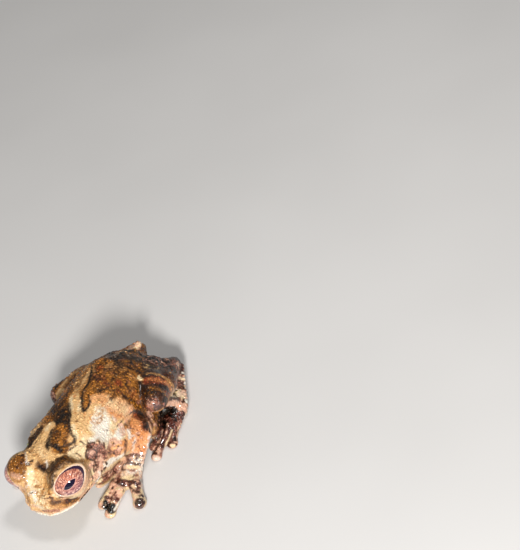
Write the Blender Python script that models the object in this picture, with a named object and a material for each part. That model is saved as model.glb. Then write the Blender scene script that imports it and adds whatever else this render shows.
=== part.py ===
"""Marbled tree frog, young, life size, as a still museum-type model resting with its limbs folded.

The frog is described by smooth distance fields: lofts for the trunk and head, tapered bones for the limbs,
flattened balls for the toe discs. The blended whole is meshed once per body part, each part being cut
from its neighbours half way between their fields, so that the cut faces meet across a thin gap.

Frame: X to the snout, Y to the animal's left, Z up, floor at zero. Sizes below are in millimetres.
"""
import bmesh
import bpy
import numpy as np
import openvdb

MM = 0.001
GAP = 0.3                       # clearance between neighbouring pieces
VOXEL = 0.25                    # sampling step of the fields
HEAD_VOXEL = 0.18               # finer step for the lids, lips and nostrils
BAND = 1.2                      # depth of field kept on each side of a surface

# Trunk and head sections: x, half width, top, widest level, bottom
TRUNK = (
    (-15.4, 0.6, 5.4, 4.6, 3.9),
    (-14.4, 1.1, 6.2, 4.5, 2.6),
    (-12.6, 2.4, 6.9, 4.4, 1.1),
    (-10.0, 4.5, 8.8, 4.2, 0.2),
    (-6.0, 5.9, 10.7, 4.0, -0.3),
    (-1.0, 6.1, 11.5, 4.2, -0.2),
    (2.5, 5.9, 11.5, 4.9, 0.6),
    (5.5, 5.2, 11.1, 5.5, 1.8),
    (8.0, 3.2, 9.8, 5.4, 3.2),
)
SKULL = (
    (3.0, 4.4, 9.8, 5.8, 3.0),
    (5.5, 5.4, 10.8, 6.0, 2.2),
    (8.0, 5.1, 10.5, 5.5, 2.1),
    (10.5, 4.55, 9.6, 5.1, 2.3),
    (12.5, 4.0, 8.4, 5.1, 2.7),
    (14.0, 2.8, 7.3, 5.0, 3.2),
    (14.9, 1.6, 6.3, 4.9, 3.8),
)
TRUNK_POWER = 2.2               # roundness of the sections, 2 is an ellipse
SKULL_POWER = 2.7
NECK_SHIFT = -0.65              # the head sits a little to the right of the trunk's middle
NECK_FROM, NECK_TO = -4.0, 9.0
RUMP_SHIFT = -0.5                # and so does the rump
RUMP_FROM, RUMP_TO = -10.5, -14.5
VENT = ((-13.9, 0.0, 5.2), (-6.0, 0.0, 8.5))
VENT_RADII = (1.1, 2.6)

# Eyes
EYE = (11.0, 3.6, 8.1)
RIGHT_EYE_SET = (0.0, 0.0, -0.35)  # the head leans, so the right eye sits lower and looks lower
EYE_AXES = {1: (0.62, 0.63, 0.47), -1: (0.52, -0.80, 0.28)}
EYE_OUT = -0.1                  # eyeball centre ahead of the bulge's centre
BULGE_RADIUS = 2.6
BALL_RADIUS = 2.6
BALL_EDGE = 1.8                 # rim radius of the eyeball piece
BALL_BACK = 0.1
SOCKET_RADIUS = 2.1
SOCKET_BACK = -0.2
LID_RADIUS = 2.18
LID_THIN, LID_THICK = 0.26, 0.42   # lower and upper lid

# Mouth, nostrils, eardrum, brow fold
MOUTH_LEVEL, MOUTH_DROP = 4.4, 0.35
MOUTH_CORNER = 5.9
MOUTH_DEPTH, MOUTH_HALF = 0.5, 0.27
JAW_INSET = 0.3
LIP_SWELL = 0.15
NOSTRIL_X, NOSTRIL_Y, NOSTRIL_RADIUS = 13.9, 1.05, 0.3
EARDRUM_X, EARDRUM_Z, EARDRUM_RADIUS = 6.7, 8.0, 0.8

# Limbs, each by the centres of its joints
ARMS = {
    "left": {"shoulder": (2.8, 4.7, 5.3), "elbow": (-0.9, 6.2, 4.3), "wrist": (3.1, 5.8, 1.4)},
    "right": {"shoulder": (3.4, -5.1, 5.8), "elbow": (-0.6, -7.0, 4.3), "wrist": (3.6, -6.6, 1.4)},
}
LEGS = {
    "left": {"hip": (-10.6, 2.6, 4.4), "knee": (-4.7, 7.5, 6.5), "heel": (-14.1, 4.7, 2.9),
             "instep": (-7.6, 8.2, 1.25)},
    "right": {"hip": (-10.6, -2.6, 4.4), "knee": (-3.8, -7.7, 5.5), "heel": (-13.9, -5.2, 2.6),
              "instep": (-7.6, -8.2, 1.25)},
}
UPPER_ARM_RADII = (1.95, 1.6)
FOREARM_RADII = (1.6, 1.5, 1.35)
THIGH_RADII = (2.6, 2.3, 1.7)
SHANK_RADII = (1.5, 1.75, 1.05)
TARSUS_RADII = (1.15, 1.25)
# Fingers: tip from the wrist, knuckle height, radius at the base and at the tip, disc radius
FINGERS = (
    (3.1, -3.8, 0.9, 0.65, 0.55, 0.68),
    (6.2, -1.5, 1.0, 0.80, 0.62, 0.78),
    (7.3, 0.2, 1.0, 0.80, 0.62, 0.82),
    (4.9, 3.6, 1.0, 0.95, 0.80, 0.98),
)
# Toe tips on the floor, inner to outer
TOES = ((-4.9, 5.9), (-3.1, 6.4), (-1.3, 7.0), (0.2, 8.1), (-2.3, 9.4))
TOE_RADII = (0.72, 0.52)
TOE_KNUCKLE = 0.95
TOE_DISC = 0.8
DISC_FLAT = 0.62                # height of a disc over its width
DISC_SET = 0.5                  # height of a disc's centre over its radius
WEB_HALF = 0.27                 # half the thickness of the webs
WEB_LEVEL = 0.55
FINGER_WEB, TOE_WEB = 0.45, 0.62  # how far along the digits the webs reach
# Scalloped fringes on the outer edges
ARM_SCALLOPS, ARM_SCALLOP_RADIUS = 5, 0.42
FOOT_SCALLOPS, FOOT_SCALLOP_RADIUS = 14, 0.36

# Pieces: triangle budget and material
PIECES = {
    "torso": (2200, "back_skin"),
    "head": (5000, "head_skin"),
    "upper_arm": (320, "arm_skin"),
    "forearm": (700, "banded_skin"),
    "hand": (1000, "banded_skin"),
    "thigh": (480, "leg_skin"),
    "shank": (460, "leg_skin"),
    "foot": (1400, "banded_skin"),
}
EYE_TRIANGLES = 260
MATERIALS = {
    "back_skin": ((0.36, 0.21, 0.09), 0.42),
    "head_skin": ((0.55, 0.40, 0.20), 0.45),
    "arm_skin": ((0.48, 0.25, 0.12), 0.40),
    "leg_skin": ((0.14, 0.06, 0.04), 0.35),
    "banded_skin": ((0.42, 0.30, 0.24), 0.42),
    "iris": ((0.48, 0.26, 0.25), 0.12),
}
SIDES = (("left", 1), ("right", -1))


def eased(value):
    """Smooth step from 0 to 1."""
    t = np.clip(value, 0.0, 1.0)
    return t * t * (3 - 2 * t)


def curve_through(x, stations, column):
    """Smooth curve through one column of a section table."""
    table = np.array(stations)
    xs, ys = table[:, 0], table[:, column]
    slopes = np.gradient(ys, xs)
    x = np.clip(x, xs[0], xs[-1])
    i = np.clip(np.searchsorted(xs, x) - 1, 0, len(xs) - 2)
    step = xs[i + 1] - xs[i]
    t = (x - xs[i]) / step
    t2, t3 = t * t, t * t * t
    return (ys[i] * (2 * t3 - 3 * t2 + 1) + slopes[i] * step * (t3 - 2 * t2 + t)
            + ys[i + 1] * (-2 * t3 + 3 * t2) + slopes[i + 1] * step * (t3 - t2))


def joined(a, b, soft):
    """Union of two fields with a fillet."""
    h = np.maximum(soft - np.abs(a - b), 0.0) / soft
    return np.minimum(a, b) - h * h * soft * 0.25


def common(a, b, soft):
    """Intersection of two fields with a rounded edge."""
    return -joined(-a, -b, soft)


def loft(p, stations, power):
    """Body of rounded sections along X."""
    x = p[:, 0]
    width, top, belt, bottom = (curve_through(x, stations, i) for i in range(1, 5))
    dz = p[:, 2] - belt
    half = np.maximum(np.where(dz > 0, top - belt, belt - bottom), 0.05)
    width = np.maximum(width, 0.05)
    q = ((np.abs(p[:, 1]) / width) ** power + (np.abs(dz) / half) ** power) ** (1 / power)
    radius = np.sqrt(p[:, 1] ** 2 + dz ** 2)
    deep = -np.minimum(width, half)
    side = np.maximum(np.where(q > 1e-6, radius * (1 - 1 / np.maximum(q, 1e-6)), deep), deep)
    over = np.maximum(np.maximum(stations[0][0] - x, x - stations[-1][0]), 0)
    return np.where(over > 0, np.sqrt(np.maximum(side, 0) ** 2 + over ** 2), side)


def loft_side(x, z, stations, power):
    """Half width of a loft at a height."""
    width, top, belt, bottom = (curve_through(np.array([x]), stations, i)[0] for i in range(1, 5))
    half = top - belt if z > belt else belt - bottom
    return width * max(1 - (abs(z - belt) / half) ** power, 0.0) ** (1 / power)


def loft_top(x, y, stations, power):
    """Height of a loft's upper side at a distance from its middle."""
    width, top, belt = (curve_through(np.array([x]), stations, i)[0] for i in range(1, 4))
    return belt + (top - belt) * max(1 - (abs(y) / width) ** power, 0.0) ** (1 / power)


def ball(p, centre, radius):
    return np.linalg.norm(p - np.asarray(centre), axis=1) - radius


def ellipsoid(p, centre, radii):
    q = p - np.asarray(centre)
    radii = np.asarray(radii, float)
    k0 = np.linalg.norm(q / radii, axis=1)
    k1 = np.maximum(np.linalg.norm(q / radii ** 2, axis=1), 1e-9)
    return np.where(k0 > 1e-6, k0 * (k0 - 1) / k1, -radii.min())


def ring(p, centre, axis, radius, thickness):
    """Round bead bent into a circle about an axis."""
    q = p - np.asarray(centre)
    along = q @ axis
    across = np.linalg.norm(q - along[:, None] * axis, axis=1)
    return np.hypot(across - radius, along) - thickness


def lids(p, centre, axis):
    """Rim round an eye, thicker along the upper lid."""
    q = p - centre
    along = q @ axis
    flat = q - along[:, None] * axis
    across = np.linalg.norm(flat, axis=1)
    upward = unit(np.array((-0.35, 0.0, 1.0)) - axis * (axis @ np.array((-0.35, 0.0, 1.0))))
    share = 0.5 + 0.5 * (flat @ upward) / np.maximum(across, 1e-6)
    thickness = LID_THIN + (LID_THICK - LID_THIN) * share ** 2
    return np.hypot(across - LID_RADIUS - (thickness - LID_THIN) * 0.5, along) - thickness


def bone(p, start, end, start_radius, end_radius):
    """Tapered round-ended bar."""
    start, end = np.asarray(start, float), np.asarray(end, float)
    line = end - start
    t = np.clip((p - start) @ line / (line @ line), 0, 1)
    radius = start_radius + t * (end_radius - start_radius)
    return np.linalg.norm(p - (start + t[:, None] * line), axis=1) - radius


def chain(p, points, radii, soft):
    """Bones end to end with softened bends."""
    field = None
    for start, end, r0, r1 in zip(points, points[1:], radii, radii[1:]):
        piece = bone(p, start, end, r0, r1)
        field = piece if field is None else joined(field, piece, soft)
    return field


def sheet(p, corners, level, half):
    """Flat three-cornered web."""
    corners = [np.asarray(c, float)[:2] for c in corners]
    a, b, c = corners
    if (b[0] - a[0]) * (c[1] - a[1]) - (b[1] - a[1]) * (c[0] - a[0]) < 0:
        corners = [a, c, b]
    outline = None
    for start, end in zip(corners, corners[1:] + corners[:1]):
        edge = (end - start) / np.linalg.norm(end - start)
        off = (p[:, 0] - start[0]) * edge[1] - (p[:, 1] - start[1]) * edge[0]
        outline = off if outline is None else np.maximum(outline, off)
    return common(outline, np.abs(p[:, 2] - level) - half, 0.2)


def scallops(p, field, points, count, radius, soft):
    """Row of round lobes along a broken line."""
    points = np.array(points, float)
    lengths = np.linalg.norm(np.diff(points, axis=0), axis=1)
    ends = np.concatenate(([0.0], np.cumsum(lengths)))
    for place in np.linspace(0, ends[-1], count):
        centre = [np.interp(place, ends, points[:, i]) for i in range(3)]
        field = joined(field, ball(p, centre, radius), soft)
    return field


def mirrored(point, side):
    return np.array((point[0], point[1] * side, point[2]), float)


def middle_offset(x):
    """Sideways place of the body's middle."""
    neck = NECK_SHIFT * eased((x - NECK_FROM) / (NECK_TO - NECK_FROM))
    return neck + RUMP_SHIFT * eased((x - RUMP_FROM) / (RUMP_TO - RUMP_FROM))


def straightened(p):
    """Points with the spine's sideways bends taken out."""
    q = p.copy()
    q[:, 1] -= middle_offset(p[:, 0])
    return q


def unit(vector):
    vector = np.asarray(vector, float)
    return vector / np.linalg.norm(vector)


def eye_place(side):
    """Bulge centre and optical axis of one eye, in straightened coordinates."""
    centre = mirrored(EYE, side)
    if side < 0:
        centre += np.array(RIGHT_EYE_SET)
    return centre, unit(EYE_AXES[side])


def trunk_field(p):
    q = straightened(p)
    return joined(loft(q, TRUNK, TRUNK_POWER), chain(q, VENT, VENT_RADII, 0.5), 1.0)


def mouth_level(x):
    return MOUTH_LEVEL - MOUTH_DROP * eased((9.0 - x) / 3.2)


def head_field(p):
    """Skull with lids, brow folds, lips, nostrils and eardrums; the sockets are cut later."""
    q = straightened(p)
    field = loft(q, SKULL, SKULL_POWER)
    gape = q[:, 2] - mouth_level(q[:, 0])
    front = eased((q[:, 0] - MOUTH_CORNER) / 1.2)
    field = field + front * (MOUTH_DEPTH * np.exp(-(gape / MOUTH_HALF) ** 2)
                             + JAW_INSET * eased(-gape / 0.8)
                             - LIP_SWELL * np.exp(-((gape - 0.55) / 0.4) ** 2))
    for _, side in SIDES:
        centre, axis = eye_place(side)
        field = joined(field, ball(q, centre, BULGE_RADIUS), 1.1)
        rim = centre + axis * (EYE_OUT + (BALL_RADIUS ** 2 - SOCKET_RADIUS ** 2) ** 0.5)
        field = joined(field, lids(q, rim - axis * 0.1, axis), 0.35)
        brow = [(x, side * (loft_side(x, z, SKULL, SKULL_POWER) - 0.05), z)
                for x, z in ((8.7, 9.2), (7.2, 9.35), (5.8, 8.7), (5.0, 7.4))]
        field = joined(field, chain(q, brow, (0.35, 0.42, 0.38, 0.2), 0.3), 0.6)
        drum = mirrored((EARDRUM_X, loft_side(EARDRUM_X, EARDRUM_Z, SKULL, SKULL_POWER), EARDRUM_Z), side)
        field = joined(field, ring(q, drum, unit((0.1, side * 0.85, 0.5)), EARDRUM_RADIUS, 0.17), 0.25)
        snout_ridge = ((12.9, side * 2.7, 8.2), (14.0, side * 1.2, loft_top(14.0, 1.2, SKULL, SKULL_POWER)))
        field = joined(field, chain(q, snout_ridge, (0.4, 0.3), 0.3), 0.7)
        nostril = (NOSTRIL_X, side * NOSTRIL_Y, loft_top(NOSTRIL_X, NOSTRIL_Y, SKULL, SKULL_POWER) + 0.12)
        field = joined(field, ball(q, nostril - np.array((0, 0, 0.3)), 0.45), 0.4)
        field = common(field, -ball(q, nostril, NOSTRIL_RADIUS), 0.15)
    return field


def socket_field(p, side):
    """Pocket that takes an eyeball."""
    q = straightened(p)
    centre, axis = eye_place(side)
    off = q - (centre + axis * EYE_OUT)
    along = off @ axis
    across = np.linalg.norm(off - along[:, None] * axis, axis=1)
    return common(across - SOCKET_RADIUS, SOCKET_BACK - along, 0.3)


def eyeball_field(p, side):
    """Domed eyeball with a flat back."""
    q = straightened(p)
    centre, axis = eye_place(side)
    off = q - (centre + axis * EYE_OUT)
    along = off @ axis
    across = np.linalg.norm(off - along[:, None] * axis, axis=1)
    dome = np.linalg.norm(off, axis=1) - BALL_RADIUS
    return common(dome, common(across - BALL_EDGE, BALL_BACK - along, 0.1), 0.1)


def digit(p, base, tip, knuckle, base_radius, tip_radius, disc):
    """Arched digit ending in a flattened disc."""
    middle = (base + tip) / 2
    middle[2] = knuckle
    bar = chain(p, (base, middle, tip), (base_radius, (base_radius + tip_radius) / 2, tip_radius), 0.3)
    return joined(bar, ellipsoid(p, tip, (disc, disc, disc * DISC_FLAT)), 0.25)


def webbed(p, field, base, tips, reach):
    """Adds a web between each two neighbouring digits."""
    for tip, following in zip(tips, tips[1:]):
        corners = (base, base + reach * (tip - base), base + reach * (following - base))
        field = joined(field, sheet(p, corners, WEB_LEVEL, WEB_HALF), 0.2)
    return field


def edge_line(points, radii, side, lift):
    """Line along the outer side of a limb."""
    points = np.array(points, float)
    line = unit(points[-1] - points[0])
    outward = unit(np.cross((0, 0, 1), line))
    outward = outward if outward[1] * side > 0 else -outward
    outward = unit(outward + np.array((0, 0, lift)))
    return [point + outward * radius for point, radius in zip(points, radii)]


def forearm_field(p, elbow, wrist, side):
    middle = elbow * 0.45 + wrist * 0.55
    field = chain(p, (elbow, middle, wrist), FOREARM_RADII, 0.5)
    line = wrist - elbow
    edge = edge_line((elbow + line * 0.2, wrist), (FOREARM_RADII[1] - 0.05, FOREARM_RADII[2] - 0.05), side, 0.1)
    return scallops(p, field, edge, ARM_SCALLOPS, ARM_SCALLOP_RADIUS, 0.12)


def hand_field(p, wrist, side):
    tips = []
    for x, y, _, _, _, disc in FINGERS:
        tip = wrist + mirrored((x, y, 0), side)
        tip[2] = disc * DISC_SET
        tips.append(tip)
    field = ellipsoid(p, wrist + mirrored((1.3, 0.2, -0.45), side), (1.8, 1.9, 0.85))
    for tip, (_, _, knuckle, base_radius, tip_radius, disc) in zip(tips, FINGERS):
        base = wrist + (tip - wrist) * 0.12
        base[2] = 0.95
        field = joined(field, digit(p, base, tip, knuckle, base_radius, tip_radius, disc), 0.5)
    root = wrist + mirrored((0.9, 0.1, 0), side)
    return webbed(p, field, root, tips, FINGER_WEB)


def foot_field(p, heel, instep, side):
    start = heel + np.array((0.1, 0, -0.9))
    field = chain(p, (start, instep), TARSUS_RADII, 0.5)
    base = instep * np.array((1, 1, 0.9))
    tips = [mirrored((x, y, TOE_DISC * DISC_SET), side) for x, y in TOES]
    for tip in tips:
        toe = digit(p, base, tip, TOE_KNUCKLE, TOE_RADII[0], TOE_RADII[1], TOE_DISC)
        field = joined(field, toe, 0.4)
    field = webbed(p, field, base - (tips[2] - base) * 0.1, tips, TOE_WEB)
    edge = edge_line((start, instep), (TARSUS_RADII[0] - 0.05, TARSUS_RADII[1] - 0.1), side, 0.35)
    outer = edge[-1] + (tips[-1] - edge[-1]) * 0.55
    outer[2] = TOE_KNUCKLE
    return scallops(p, field, edge + [outer], FOOT_SCALLOPS, FOOT_SCALLOP_RADIUS, 0.1)


def part_fields(p):
    """The own field of every body part."""
    fields = {"torso": trunk_field(p), "head": head_field(p)}
    for name, side in SIDES:
        shoulder, elbow, wrist = (np.array(ARMS[name][k], float) for k in ("shoulder", "elbow", "wrist"))
        hip, knee, heel, instep = (np.array(LEGS[name][k], float) for k in ("hip", "knee", "heel", "instep"))
        fields["upper_arm_" + name] = bone(p, shoulder, elbow, *UPPER_ARM_RADII)
        fields["forearm_" + name] = forearm_field(p, elbow, wrist, side)
        fields["hand_" + name] = hand_field(p, wrist, side)
        fields["thigh_" + name] = chain(p, (hip, hip * 0.4 + knee * 0.6, knee), THIGH_RADII, 0.8)
        fields["shank_" + name] = chain(p, (knee, knee * 0.55 + heel * 0.45, heel), SHANK_RADII, 0.6)
        fields["foot_" + name] = foot_field(p, heel, instep, side)
    return fields


def whole_field(fields):
    """The whole animal with soft passages from part to part."""
    body = joined(fields["torso"], fields["head"], 2.0)
    for name, _ in SIDES:
        arm = joined(fields["upper_arm_" + name], fields["forearm_" + name], 0.7)
        arm = joined(arm, fields["hand_" + name], 0.6)
        leg = joined(fields["thigh_" + name], fields["shank_" + name], 0.35)
        leg = joined(leg, fields["foot_" + name], 0.3)
        body = joined(joined(body, arm, 0.7), leg, 0.5)
    return body


class Grid:
    """Regular block of sample points."""

    def __init__(self, low, high, step):
        self.low, self.step = np.array(low, float), step
        self.count = np.ceil((np.array(high) - self.low) / step).astype(int) + 1
        axes = [self.low[i] + step * np.arange(self.count[i]) for i in range(3)]
        self.points = np.stack(np.meshgrid(*axes, indexing="ij"), -1).reshape(-1, 3)

    def away(self, difference):
        """Distance to where a difference of two fields is zero."""
        block = difference.reshape(self.count)
        slope = np.sqrt(sum(g ** 2 for g in np.gradient(block, self.step)))
        return (block / np.maximum(slope, 0.5)).reshape(-1)

    def surface(self, field):
        """Vertices and faces of the zero level, faces outward."""
        block = np.clip(field, -BAND, BAND).reshape(self.count).astype(np.float32)
        block[[0, -1]] = block[:, [0, -1]] = block[:, :, [0, -1]] = BAND
        volume = openvdb.FloatGrid(BAND)
        volume.copyFromArray(np.ascontiguousarray(block))
        points, triangles, quads = volume.convertToPolygons(0.0, 0.0)
        faces = [tuple(int(v) for v in face[::-1]) for face in quads]
        faces += [tuple(int(v) for v in face[::-1]) for face in triangles]
        return points * self.step + self.low, faces


def largest_body(shape):
    """Leaves only the biggest connected piece."""
    shape.verts.ensure_lookup_table()
    groups, seen = [], set()
    for start in shape.verts:
        if start.index in seen:
            continue
        group, waiting = [], [start]
        seen.add(start.index)
        while waiting:
            vertex = waiting.pop()
            group.append(vertex)
            for edge in vertex.link_edges:
                other = edge.other_vert(vertex)
                if other.index not in seen:
                    seen.add(other.index)
                    waiting.append(other)
        groups.append(group)
    groups.sort(key=len)
    for group in groups[:-1]:
        bmesh.ops.delete(shape, geom=group, context="VERTS")


def reduced(mesh, target):
    """The mesh brought down to about a number of triangles."""
    helper = bpy.data.objects.new("helper", mesh)
    bpy.context.scene.collection.objects.link(helper)
    decimate = helper.modifiers.new("reduce", "DECIMATE")
    mesh.calc_loop_triangles()
    decimate.ratio = min(target / len(mesh.loop_triangles), 1.0)
    graph = bpy.context.evaluated_depsgraph_get()
    result = bpy.data.meshes.new_from_object(helper.evaluated_get(graph))
    bpy.data.objects.remove(helper)
    bpy.data.meshes.remove(mesh)
    return result


def cut_at_floor(shape):
    """Cuts off what lies below the floor and closes the cuts with flats."""
    everything = shape.verts[:] + shape.edges[:] + shape.faces[:]
    cut = bmesh.ops.bisect_plane(shape, geom=everything, plane_co=(0, 0, 0), plane_no=(0, 0, 1),
                                 dist=1e-7, clear_inner=True)
    rims = [e for e in cut["geom_cut"] if isinstance(e, bmesh.types.BMEdge) and e.is_boundary]
    if rims:
        bmesh.ops.holes_fill(shape, edges=rims, sides=0)


def material(name):
    colour, roughness = MATERIALS[name]
    found = bpy.data.materials.get(name)
    if found is None:
        found = bpy.data.materials.new(name)
        found.use_nodes = True
        shader = found.node_tree.nodes["Principled BSDF"]
        shader.inputs["Base Color"].default_value = (*colour, 1.0)
        shader.inputs["Roughness"].default_value = roughness
        shader.inputs["Metallic"].default_value = 0.0
    return found


def add_piece(name, vertices, faces, origin, triangles, finish, parent):
    """One closed solid as an object whose origin is its natural centre."""
    mesh = bpy.data.meshes.new(name)
    mesh.from_pydata((vertices * MM).tolist(), [], faces)
    shape = bmesh.new()
    shape.from_mesh(mesh)
    largest_body(shape)
    shape.to_mesh(mesh)
    shape.free()
    mesh = reduced(mesh, triangles)
    mesh.name = name
    shape = bmesh.new()
    shape.from_mesh(mesh)
    bmesh.ops.dissolve_degenerate(shape, dist=1e-6, edges=shape.edges[:])
    cut_at_floor(shape)
    bmesh.ops.translate(shape, vec=tuple(-np.array(origin) * MM), verts=shape.verts[:])
    bmesh.ops.triangulate(shape, faces=shape.faces[:])
    bmesh.ops.recalc_face_normals(shape, faces=shape.faces[:])
    shape.to_mesh(mesh)
    shape.free()
    mesh.materials.clear()
    mesh.materials.append(material(finish))
    mesh.shade_smooth()
    piece = bpy.data.objects.new(name, mesh)
    piece.location = tuple(np.array(origin) * MM)
    piece.parent = parent
    bpy.context.scene.collection.objects.link(piece)
    return piece


def natural_centres():
    """Origin of each piece: the joint that it hangs from, or its own middle."""
    centres = {"torso": (-4.0, 0.0, 4.5), "head": (6.0, 0.0, 6.0)}
    for name, _ in SIDES:
        centres["upper_arm_" + name] = ARMS[name]["shoulder"]
        centres["forearm_" + name] = ARMS[name]["elbow"]
        centres["hand_" + name] = ARMS[name]["wrist"]
        centres["thigh_" + name] = LEGS[name]["hip"]
        centres["shank_" + name] = LEGS[name]["knee"]
        centres["foot_" + name] = LEGS[name]["heel"]
    return centres


def node_field(grid, fields, name):
    """Field of one piece: the whole, cut half way to every neighbour."""
    others = None
    for key, field in fields.items():
        if key != name:
            others = field if others is None else np.minimum(others, field)
    cut = grid.away(fields[name] - others) + GAP / 2
    return np.maximum(whole_field(fields), cut)


def set_on_middle(frog):
    """Moves the animal so that the frame's origin lies under the middle of its bounds."""
    corners = []
    for piece in frog.children:
        places = np.empty(len(piece.data.vertices) * 3)
        piece.data.vertices.foreach_get("co", places)
        places = places.reshape(-1, 3) + np.array(piece.location)
        corners += [places.min(axis=0), places.max(axis=0)]
    middle = (np.min(corners, axis=0) + np.max(corners, axis=0)) / 2
    frog.location = (-middle[0], -middle[1], 0.0)


def main():
    for old in list(bpy.data.objects):
        bpy.data.objects.remove(old)
    frog = bpy.data.objects.new("frog", None)
    bpy.context.scene.collection.objects.link(frog)
    centres = natural_centres()
    body_grid = Grid((-17, -13, -1.2), (17, 13, 13), VOXEL)
    body_fields = part_fields(body_grid.points)
    head_grid = Grid((2, -8.5, 1), (16.5, 7.5, 12.5), HEAD_VOXEL)
    head_fields = part_fields(head_grid.points)
    for name in body_fields:
        kind = name.replace("_left", "").replace("_right", "")
        triangles, finish = PIECES[kind]
        grid, fields = (head_grid, head_fields) if name == "head" else (body_grid, body_fields)
        field = node_field(grid, fields, name)
        if name == "head":
            for _, side in SIDES:
                field = common(field, -socket_field(grid.points, side), 0.2)
        vertices, faces = grid.surface(field)
        add_piece(name, vertices, faces, centres[name], triangles, finish, frog)
    for name, side in SIDES:
        vertices, faces = head_grid.surface(eyeball_field(head_grid.points, side))
        centre, _ = eye_place(side)
        centre[1] += middle_offset(centre[0])
        add_piece("eye_" + name, vertices, faces, centre, EYE_TRIANGLES, "iris", frog)
    set_on_middle(frog)


main()
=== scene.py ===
"""Looks of the young marbled tree frog: one marked skin over the whole body, its grains and two eyes.

The animal is described by the same smooth distance fields as its solids, sampled finer, with the soft
folds, finer lids and grains that the solids leave out. Sizes are in millimetres in the animal's own frame:
X to the snout, Y to its left, Z up, floor at zero. Finished meshes are in metres in the frame of the
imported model.
"""

import logging
import math
from dataclasses import dataclass
from enum import Enum
from functools import reduce
from typing import Callable, Sequence

import bpy
import numpy as np
import openvdb
from bpy.types import GeometryNodeTree, ID, Material, Mesh, Node, NodeSocket, NodeTree, Object
from mathutils import Matrix, Vector

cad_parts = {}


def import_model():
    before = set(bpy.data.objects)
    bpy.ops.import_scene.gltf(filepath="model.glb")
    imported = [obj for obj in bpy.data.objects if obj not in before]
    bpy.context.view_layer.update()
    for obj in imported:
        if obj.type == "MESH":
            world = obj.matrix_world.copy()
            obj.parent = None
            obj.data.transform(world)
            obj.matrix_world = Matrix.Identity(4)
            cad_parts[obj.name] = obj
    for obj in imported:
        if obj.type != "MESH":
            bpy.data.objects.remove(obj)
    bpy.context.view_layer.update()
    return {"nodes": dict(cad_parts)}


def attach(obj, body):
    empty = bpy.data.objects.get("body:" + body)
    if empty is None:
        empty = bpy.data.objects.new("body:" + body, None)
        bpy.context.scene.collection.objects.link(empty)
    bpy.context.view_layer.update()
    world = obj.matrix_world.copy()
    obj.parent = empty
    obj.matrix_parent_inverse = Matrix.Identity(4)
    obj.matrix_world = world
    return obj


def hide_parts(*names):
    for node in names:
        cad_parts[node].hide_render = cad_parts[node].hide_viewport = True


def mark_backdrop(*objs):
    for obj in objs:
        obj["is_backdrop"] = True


Array = np.ndarray
Point = tuple[float, ...]
Fields = dict[str, Array]
Faces = list[tuple[int, ...]]

LOG = logging.getLogger("frog")
MM = 0.001
ORIGIN = np.array((0.2336, 0.4046, 0.0))   # place of the animal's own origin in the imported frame
FAR = 6.0                                  # stands for the field of a shape that is far away
INK_STRENGTH = 0.68                        # reflected light of an ink over its look in full light
PHOTOGRAPHED = np.array((0.478, 0.54, 0.693))   # direction of the side that the photograph shows
LIGHTNESS = np.array((0.3, 0.6, 0.1))      # weights of red, green and blue in a colour's lightness


class Side(Enum):
    """The two sides of the animal, with the sign of Y."""

    LEFT = 1
    RIGHT = -1

    @property
    def word(self) -> str:
        """The side's name as the nodes have it."""
        return self.name.lower()

    def mirror(self, point: Sequence[float]) -> Array:
        """A point given for the left side, on this side."""
        return np.array((point[0], point[1] * self.value, point[2]), float)


class Ink(Enum):
    """Skin colours, in display values from 0 to 255."""

    WHITE = (255, 246, 230)
    CREAM = (255, 226, 178)
    BEIGE = (246, 198, 136)
    PEACH = (248, 182, 122)
    TAN = (206, 150, 88)
    GOLD = (190, 122, 42)
    OLIVE = (148, 92, 25)
    DARK_OLIVE = (72, 44, 12)
    BROWN = (90, 46, 18)
    DARK = (46, 22, 9)
    BLACK = (17, 8, 4)
    RUST = (158, 66, 18)
    ORANGE = (243, 160, 92)
    MAROON = (100, 46, 34)
    PINK = (242, 190, 160)
    ROSE = (178, 118, 98)
    GREEN = (160, 164, 118)
    GREY = (168, 146, 126)

    @property
    def linear(self) -> Array:
        """The share of light that the colour throws back."""
        share = np.array(self.value, float) / 255
        return INK_STRENGTH * np.where(share <= 0.04045, share / 12.92, ((share + 0.055) / 1.055) ** 2.4)


# Smooth distance fields

def unit(vector: Sequence[float]) -> Array:
    """The vector at length one."""
    vector = np.asarray(vector, float)
    return vector / np.linalg.norm(vector)


def eased(value: Array) -> Array:
    """Smooth step from 0 to 1."""
    t = np.clip(value, 0.0, 1.0)
    return t * t * (3 - 2 * t)


def ramp(x: Array, span: Point) -> Array:
    """Smooth step from 0 to 1 between two places; the first may be the larger."""
    return eased((x - span[0]) / (span[1] - span[0]))


def profile(x: Array, stations: Sequence[Point], column: int) -> Array:
    """Smooth curve through one column of a section table.

    Args:
        x: places along the table's first column.
        stations: rows of the table.
        column: which column the curve passes through.

    Returns:
        The curve's value at each place.
    """
    table = np.array(stations)
    xs, ys = table[:, 0], table[:, column]
    slopes = np.gradient(ys, xs)
    x = np.clip(x, xs[0], xs[-1])
    i = np.clip(np.searchsorted(xs, x) - 1, 0, len(xs) - 2)
    step = xs[i + 1] - xs[i]
    t = (x - xs[i]) / step
    t2, t3 = t * t, t * t * t
    return (ys[i] * (2 * t3 - 3 * t2 + 1) + slopes[i] * step * (t3 - 2 * t2 + t)
            + ys[i + 1] * (-2 * t3 + 3 * t2) + slopes[i + 1] * step * (t3 - t2))


def joined(a: Array, b: Array, soft: float) -> Array:
    """Union of two fields with a fillet."""
    h = np.maximum(soft - np.abs(a - b), 0.0) / soft
    return np.minimum(a, b) - h * h * soft * 0.25


def common(a: Array, b: Array, soft: float) -> Array:
    """Intersection of two fields with a rounded edge."""
    return -joined(-a, -b, soft)


def merged(fields: Sequence[Array], soft: float) -> Array:
    """Union of several fields, one after the other, with fillets."""
    return reduce(lambda a, b: joined(a, b, soft), fields)


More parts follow.
